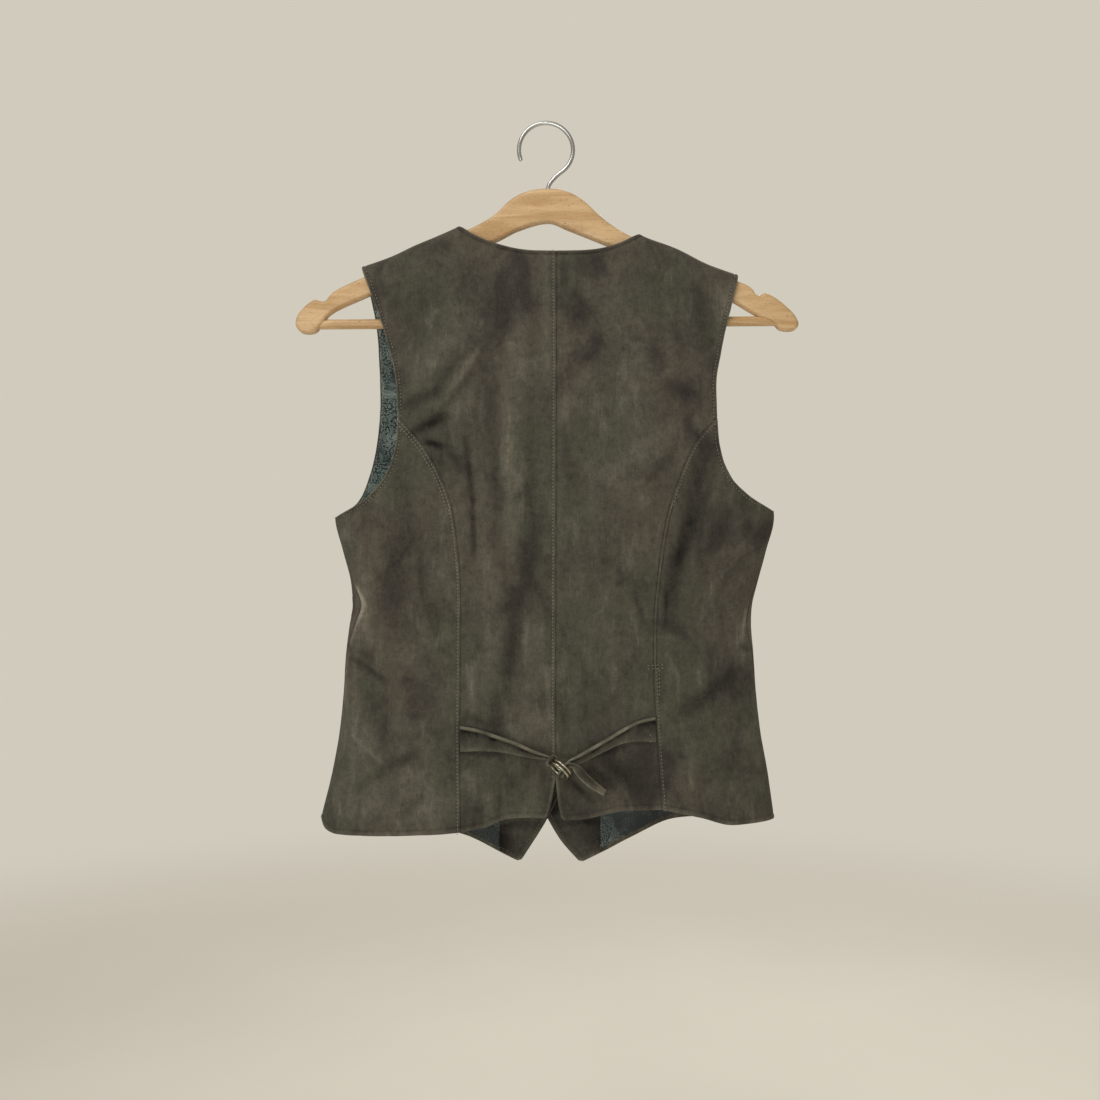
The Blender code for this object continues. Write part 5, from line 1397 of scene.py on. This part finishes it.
def stitched(name, paths, tree):
    """Stitches along paths of points and normals, as one plain mesh."""
    points, edges, lies = [], [], []
    for path in paths:
        first = len(points)
        points.extend(path[:, 0] * MM)
        lies.extend(unit(path[:, 1]))
        edges.extend((first + i, first + i + 1) for i in range(len(path) - 1))
    mesh = bpy.data.meshes.new(name)
    mesh.from_pydata([tuple(p) for p in points], edges, [])
    layer = mesh.attributes.new("lie", "FLOAT_VECTOR", "POINT")
    layer.data.foreach_set("vector", np.array(lies, np.float32).reshape(-1))
    rows = placed(name + "_rows", mesh)
    rows.modifiers.new("stitches", "NODES").node_group = tree
    made = placed(name, evaluated(rows))
    made.data.name = name
    bpy.data.objects.remove(rows)
    return made


def straight_row(side, x0, drop0, x1, drop1, off):
    """Points and normals on a straight row over the cloth, on the lap where there is one."""
    x, drop = np.linspace(x0, x1, TACK_STEPS), np.linspace(drop0, drop1, TACK_STEPS)
    faces = normals(side, x, drop)
    lift = off + lap(x) * (side > 0)
    return np.stack([surface(side, x, drop) + faces * lift[:, None], faces], axis=1)


def buttonhole_slits(finish):
    """Dark bodies in the cuts between the buttonholes' stitches: painted shade in the cuts."""
    slits = []
    for drop in BUTTON_DROPS:
        first, last = (CLOSING_X + reach for reach in HOLE_REACH)
        row = straight_row(FRONT, first + SLIT_INSET, drop, last - SLIT_INSET, drop, SLIT_LIFT)
        along = unit(np.gradient(row[:, 0], axis=0))
        path = [(spot, np.cross(run, face), face) for (spot, face), run in zip(row, along)]
        section = circle(SLIT_SIDES) * (SLIT_WIDTH / 2, SLIT_HEIGHT)
        slits.append(swept("slit", path, section, False, finish))
    return joined_up("buttonhole_slits", slits)


def edge_rows(panels, rows):
    """Rows of stitches along the panels' edges, each as points and normals."""
    return [panels[name].path(edge, inside) for name, edge, inside in rows]


def short_rows():
    """The tacks and the buttonholes' stitches."""
    paths = [straight_row(*row) for row in TACKS]
    for drop in BUTTON_DROPS:
        first, last = (CLOSING_X + reach for reach in HOLE_REACH)
        for up in HOLE_ROWS:
            paths.append(straight_row(FRONT, first, drop + up, last, drop + up, HOLE_LIFT))
        top, bottom = (drop + up for up in HOLE_ROWS)
        for x in (first, last):
            paths.append(straight_row(FRONT, x, top, x, bottom, HOLE_LIFT))
    return paths


# Ties and rings


def ribbon(name, rows, count, tip, finish):
    """A flat tie between two edges that stand off the back, with rolled edges.

    tip is 1 where it ends in a loose tail, and 0 where it doesn't."""
    halves = rows[:3], rows[3:]
    edges = [surface(BACK, x, drop) - np.outer(out, (0, 1, 0)) for x, drop, out in halves]
    middle = np.mean(edges, axis=0)
    run = run_of(middle[None])[0]
    at = np.linspace(0, run[-1], count + 1)
    upper, lower = (np.stack([smooth(run, edge[:, k], at) for k in range(3)], axis=1) for edge in edges)
    wide = np.linalg.norm(lower - upper, axis=1)[:, None]
    near = TIE_PROFILE.near * np.minimum(1, wide / TIE_NARROW)
    f = ((near + TIE_PROFILE.share * (wide - near[:, -1:])) / wide)[..., None]
    grid = (1 - f) * upper[:, None] + f * lower[:, None]
    along, across = np.gradient(grid, axis=0), np.gradient(grid, axis=1)
    face = unit(np.cross(along, across))
    sway = sum(size * np.sin(at / long + shift) for size, long, shift in TIE_WAVES)[:, None]
    thin = np.clip(wide / TIE_NARROW, TIE_THINNEST, 1)
    rolled = TIE_PROFILE.front * (1 + sway * (TIE_PROFILE.front > TIE_ROLLED)) * thin
    plain = TIE_PROFILE.back * thin
    facing = (1 - face[..., 1]) / 2
    tail = tip * ease((at - run[-1] + TAIL_LONG) / TIE_NARROW)[:, None]
    flat = TIE_PROFILE.tail * thin * tail
    front = (rolled * facing + plain * (1 - facing)) * (1 - tail) + flat
    back = (plain * facing + rolled * (1 - facing)) * (1 - tail) + flat
    # Rubbed edges, a painted highlight along the rolled edge and painted shadow under it
    wear = (TIE_PROFILE.wear * (1 - tail) + TIE_PROFILE.rubbed * tail) * (1 + 2 * sway)
    wear = wear + TIP_WEAR * np.clip(1 - (run[-1] - at) / TIP_LONG, 0, 1)[:, None] * tip
    outer, inner = grid + face * front[..., None], grid - face * back[..., None]
    marks = {"wear": wear, "shade": np.zeros_like(wear)}
    return shell(name, outer, inner, np.full(front.shape, SEAM_ROUND), marks, finish, both=True)


def ring_frame():
    """The rings' centre, and their unit vectors: along their slant, across it, and their axis."""
    slant = Vector((math.cos(RING_SLANT), 0, -math.sin(RING_SLANT)))
    across = Vector((math.sin(RING_SLANT), 0, math.cos(RING_SLANT)))
    rise = Vector((0, -math.cos(RING_TILT), 0)) + across * math.sin(RING_TILT)
    centre = Vector((RING_CENTRE[0], RING_CENTRE[2], -RING_CENTRE[1]))
    return centre, slant, rise, slant.cross(rise)


def swept(name, path, section, closed, finish):
    """A section of points swept along a path of centres with their two axes."""
    across, up = section.T
    rings = [centre + np.outer(across, a) + np.outer(up, b) for centre, a, b in path]
    return tube(name, rings, closed, finish)


def tube(name, rings, closed, finish):
    """A skin over rings of points, joined into a loop or capped at both ends."""
    number = np.arange(len(rings) * len(rings[0])).reshape(len(rings), -1)
    if closed:
        number = np.concatenate([number, number[:1]])
    a, b = number[:-1], number[1:]
    faces = np.stack([a, np.roll(a, -1, 1), np.roll(b, -1, 1), b], axis=-1).reshape(-1, 4).tolist()
    if not closed:
        faces += [number[0][::-1].tolist(), number[-1].tolist()]
    made = mesh_object(name, np.concatenate(rings), faces, finish)
    bm = bmesh.new()
    bm.from_mesh(made.data)
    bmesh.ops.remove_doubles(bm, verts=bm.verts, dist=WELD * MM)
    bmesh.ops.recalc_face_normals(bm, faces=bm.faces)
    bm.to_mesh(made.data)
    bm.free()
    return made


def circle(count, radius=1.0):
    angles = np.linspace(0, 2 * math.pi, count, endpoint=False)
    return np.stack([np.cos(angles), np.sin(angles)], axis=1) * radius


def cinch_rings(finish):
    centre, slant, rise, axis = (np.array(v) for v in ring_frame())
    made = []
    for number, shift in enumerate((-0.5, 0.5), start=1):
        middle = centre + axis * RING_SPACING * shift
        path = []
        for c, s in circle(RING_STEPS):
            out = slant * c + rise * s
            path.append((middle + out * RING_RADIUS, out, axis))
        made.append(swept(f"ring_{number}", path, circle(RING_SIDES, RING_WIRE), True, finish))
    return made


def tie_loop(finish):
    """The leather loop at the left tie's end that holds the rings' upper-left side."""
    centre, slant, rise, axis = (np.array(v) for v in ring_frame())
    centre = centre - slant * (RING_RADIUS + LOOP_SHIFT)
    section = np.array(LOOP_SECTION) * (LOOP_WIDTH / 2, LOOP_WALL / 2)
    path = []
    for c, s in circle(LOOP_STEPS):
        spot = centre + axis * LOOP_HALF_LONG * c + slant * LOOP_HALF_SHORT * s
        out = unit(axis * c / LOOP_HALF_LONG + slant * s / LOOP_HALF_SHORT)
        path.append((spot, rise, out))
    made = swept("loop_leather", path, section, True, finish)
    mark(made, "wear", np.full(len(made.data.vertices), LOOP_WEAR))
    return made


# The hanger


def closed_curve(points, steps):
    """A smooth closed line through all the points, with no kink where their spacing changes."""
    p = [np.roll(np.array(points, float), shift, axis=0) for shift in (1, 0, -1, -2)]
    knots = [np.zeros(len(points))]
    for a, b in zip(p, p[1:]):
        knots.append(knots[-1] + np.linalg.norm(b - a, axis=1) ** 0.5)
    out = []
    for f in even(steps)[:-1]:
        t = knots[1] + f * (knots[2] - knots[1])

        def between(a, b, i, j):
            share = ((t - knots[i]) / (knots[j] - knots[i]))[:, None]
            return a + (b - a) * share

        first = [between(p[i], p[i + 1], i, i + 1) for i in range(3)]
        second = [between(first[i], first[i + 1], i, i + 2) for i in range(2)]
        out.append(between(second[0], second[1], 1, 2))
    return np.stack(out, axis=1).reshape(-1, 2)


def hanger_body(finish):
    """The arms, whose outline is smoothed more the further the rounding of the edge draws it in."""
    outline = closed_curve(ARM_TOP + ARM_BOTTOM, ARM_STEPS)
    outline[:, 1] *= -1
    area = np.cross(outline, np.roll(outline, -1, axis=0)).sum()
    run = unit(np.roll(outline, -1, axis=0) - np.roll(outline, 1, axis=0))
    inward = np.stack([-run[:, 1], run[:, 0]], axis=1) * np.sign(area)
    rings = []
    quarter = math.pi / 2 * even(ARM_EDGE_STEPS)
    half = ARM_THICKNESS / 2
    sides = [(a, -1) for a in quarter[::-1]] + [(a, 1) for a in quarter]
    for angle, side in sides:
        inset = ARM_ROUNDING * (1 - math.cos(angle))
        y = side * (half - ARM_ROUNDING + ARM_ROUNDING * math.sin(angle))
        ring = outline + inward * inset
        for _ in range(int(inset * ARM_SMOOTHING)):
            ring = (np.roll(ring, 1, 0) + 2 * ring + np.roll(ring, -1, 0)) / 4
        rings.append(np.stack([ring[:, 0], np.full(len(ring), y), ring[:, 1]], axis=1))
    return tube("hanger_wood", rings, False, finish)


def hanger_bar(finish):
    a, b = (np.array((x, 0.0, -drop)) for x, drop in BAR_ENDS)
    up = np.cross(unit(b - a), OUT)
    path = [(a + (b - a) * f, OUT, up) for f in even(BAR_STEPS)]
    return swept("trouser_bar", path, circle(BAR_SIDES, BAR_RADIUS), False, finish)


def hanger_hook(finish):
    """A wire hook: a stem out of the wood, and an arc to the right and over the rail to the left."""
    radius = HOOK_RADIUS + HOOK_WIRE
    spots = [(HOOK_STEM_X, -drop) for drop in np.linspace(*HOOK_STEM_DROPS)]
    for degrees in np.arange(*HOOK_ARC):
        angle = math.radians(degrees)
        spots.append((radius * math.cos(angle), -HOOK_RADIUS + radius * math.sin(angle)))
    spots = np.array(spots)
    for _ in range(HOOK_SMOOTHING):
        spots[1:-1] = (spots[:-2] + 2 * spots[1:-1] + spots[2:]) / 4
    run = unit(np.gradient(spots, axis=0))
    pairs = zip(spots, run)
    path = [(np.array((x, 0.0, z)), OUT, np.array((-dz, 0.0, dx))) for (x, z), (dx, dz) in pairs]
    tip, out, across = path[-1]
    forward = np.array((run[-1][0], 0.0, run[-1][1]))
    for angle in HOOK_TIP_ANGLES:
        spot, share = tip + forward * HOOK_WIRE * math.sin(angle), math.cos(angle)
        path.append((spot, out * share, across * share))
    return swept("hook_wire", path, circle(HOOK_SIDES, HOOK_WIRE), False, finish)


# Buttons


def button_mesh():
    """Points and faces of a button with a raised rim and four holes, about the origin, facing +Z."""
    bm = bmesh.new()
    outline = [bm.verts.new((r, 0, z)) for r, z in BUTTON_SECTION]
    edges = [bm.edges.new(pair) for pair in zip(outline, outline[1:])]
    bmesh.ops.spin(bm, geom=outline + edges, cent=(0, 0, 0), axis=(0, 0, 1), angle=2 * math.pi,
                   steps=BUTTON_STEPS, use_merge=True)
    bmesh.ops.remove_doubles(bm, verts=bm.verts, dist=AXIS_WELD)
    bmesh.ops.recalc_face_normals(bm, faces=bm.faces)
    mesh = bpy.data.meshes.new("button")
    bm.to_mesh(mesh)
    bm.free()
    made = placed("button", mesh)
    bpy.ops.mesh.primitive_cylinder_add(
        vertices=BUTTON_HOLE_SIDES, radius=BUTTON_HOLE, depth=DRILL_DEPTH
    )
    drill = bpy.context.object
    for turn in range(4):
        angle = math.pi / 4 + turn * math.pi / 2
        drill.location = (HOLE_CIRCLE * math.cos(angle), HOLE_CIRCLE * math.sin(angle), 0)
        cut = made.modifiers.new("hole", "BOOLEAN")
        cut.object, cut.solver = drill, "EXACT"
        drilled = evaluated(made)
        made.modifiers.clear()
        made.data = drilled
    bpy.data.objects.remove(drill)
    points = np.array([v.co for v in made.data.vertices])
    faces = [tuple(p.vertices) for p in made.data.polygons]
    bpy.data.objects.remove(made)
    return points, faces


def buttons(finish, cotton):
    """Four plain buttons down the closing, with their thread."""
    points, faces = button_mesh()
    low, rise = TACK_RISE
    made, tacks = [], []
    for number, drop in enumerate(BUTTON_DROPS, start=1):
        at = FRONT, np.array([CLOSING_X]), np.array([drop])
        base, normal = surface(*at)[0], normals(*at)[0]
        side = unit(np.cross((0, 0, 1.0), normal))
        up = np.cross(normal, side)
        middle = base + normal * (LAP_STEP + LAYER_GAP + BUTTON_THICKNESS / 2)
        turn = np.stack([side, up, normal])
        made.append(mesh_object(f"button_face_{number}", points @ turn + middle, faces, finish))
        made[-1].data.set_sharp_from_angle(angle=SHARP_ANGLE)
        for shift in (-TACK_SPAN / 2, TACK_SPAN / 2):
            path = []
            for f in even(THREAD_STEPS):
                spot = side * (f - 0.5) * TACK_SPAN + up * shift
                spot += middle + normal * (low + rise * math.sin(math.pi * f))
                path.append((spot, up, normal))
            section = circle(THREAD_SIDES, TACK_THICKNESS)
            tacks.append(swept(f"tack_{number}", path, section, False, cotton))
    return made, joined_up("button_thread", tacks)


def joined_up(name, objects):
    """Several meshes as one object."""
    bm = bmesh.new()
    for one in objects:
        bm.from_mesh(one.data)
    mesh = bpy.data.meshes.new(name)
    bm.to_mesh(mesh)
    bm.free()
    mesh.materials.append(objects[0].data.materials[0])
    mesh.shade_smooth()
    made = placed(name, mesh)
    for one in objects:
        bpy.data.objects.remove(one)
    return made


# Camera, light and stage


def stage():
    scene = bpy.context.scene
    scene.view_settings.view_transform = "Standard"
    camera = bpy.data.cameras.new("camera")
    camera.sensor_fit, camera.sensor_width, camera.lens = "HORIZONTAL", 36.0, CAMERA_LENS
    scene.camera = placed("camera", camera)
    scene.camera.location, scene.camera.rotation_euler = CAMERA_PLACE, (math.radians(90), 0, 0)
    world = bpy.data.worlds.new("studio")
    world.use_nodes = True
    backdrop = world.node_tree.nodes["Background"]
    backdrop.inputs[0].default_value = paint(*WALL_COLOUR)
    nodes, links = world.node_tree.nodes, world.node_tree.links
    seen, strength = nodes.new("ShaderNodeLightPath"), nodes.new("ShaderNodeMapRange")
    strength.inputs["To Min"].default_value = WORLD_STRENGTH
    links.new(seen.outputs["Is Camera Ray"], strength.inputs["Value"])
    links.new(strength.outputs[0], backdrop.inputs[1])
    scene.world = world
    for name, place, size, power, tint in LIGHTS:
        light = bpy.data.lights.new(name, "AREA")
        light.shape, light.size, light.energy, light.color = "DISK", size, power, tint
        lamp = placed(name, light)
        lamp.location = place
        lamp.rotation_euler = (Vector(LIGHT_AIM) - Vector(place)).to_track_quat("-Z", "Y").to_euler()
        lamp.visible_glossy = name != "front"
    points = np.array([(x, y, FLOOR_Z) for x, y in circle(FLOOR_SIDES, FLOOR_RADIUS)])
    finish = floor_finish("pale_floor")
    disc = mesh_object("floor", points / MM, [tuple(range(FLOOR_SIDES))], finish)


def finished(piece, slot, *nodes):
    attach(piece, "root")
    if nodes:
        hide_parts(*nodes)


def build():
    stage()
    napped = suede("suede_nap", *(paint(*c) for c in SUEDE_COLOURS))
    faced = suede("facing_nap", *(paint(*c) for c in FACING_COLOURS))
    printed = lining_print("printed_lining")
    beech = wood("lacquered_beech")
    brass = metal("pale_brass", paint(182, 175, 156), roughness=0.29, scale=90.0)
    steel = metal("satin_steel", paint(205, 205, 203), roughness=0.3, scale=60.0)
    dark_horn = horn("dark_horn_button")
    cotton = thread("stitch_thread", paint(*THREAD_COLOUR))
    dull_cotton = thread("facing_thread", paint(*FACING_THREAD_COLOUR))
    # Painted shade for the needle holes and the buttonhole slits
    shade = thread("needle_hole", paint(*NEEDLE_HOLE_SHADE))

    kinds = {
        "back": ("suede", LEATHER, napped, printed),
        "front": ("suede", LEATHER, napped),
        "lining": ("lining", LINING, printed),
        "facing": ("facing", FACING, faced),
    }
    panels = garment()
    for node, panel in panels.items():
        slot, thickness, *finishes = kinds[node.split("_")[0]]
        made = cloth(f"{node}_cloth", panel, thickness, *finishes)
        finished(made, slot, node)

    paths = edge_rows(panels, STITCH_ROWS) + short_rows()
    finished(stitched("topstitching", paths, stitch_tree(cotton, shade)), "suede")
    paths = edge_rows(panels, FACING_ROWS)
    finished(stitched("facing_stitching", paths, stitch_tree(dull_cotton, shade)), "facing")

    left = ribbon("tie_left_strap", TIE_LEFT, TIE_STEPS[0], 0, napped)
    right = ribbon("tie_right_strap", TIE_RIGHT, TIE_STEPS[1], 1, napped)
    finished(left, "suede", "tie_left")
    finished(right, "suede", "tie_right")
    for number, ring in enumerate(cinch_rings(brass), start=1):
        finished(ring, "cinch_metal", f"cinch_ring_{number}")
    finished(tie_loop(napped), "suede", "tie_loop")

    finished(buttonhole_slits(shade), "suede")
    faces, tacks = buttons(dark_horn, cotton)
    for number, face in enumerate(faces, start=1):
        finished(face, "button", f"button_{number}")
    finished(tacks, "button")
    finished(hanger_body(beech), "hanger_wood", "hanger_body")
    finished(hanger_bar(beech), "hanger_wood", "hanger_bar")
    finished(hanger_hook(steel), "hook_steel", "hanger_hook")


build()
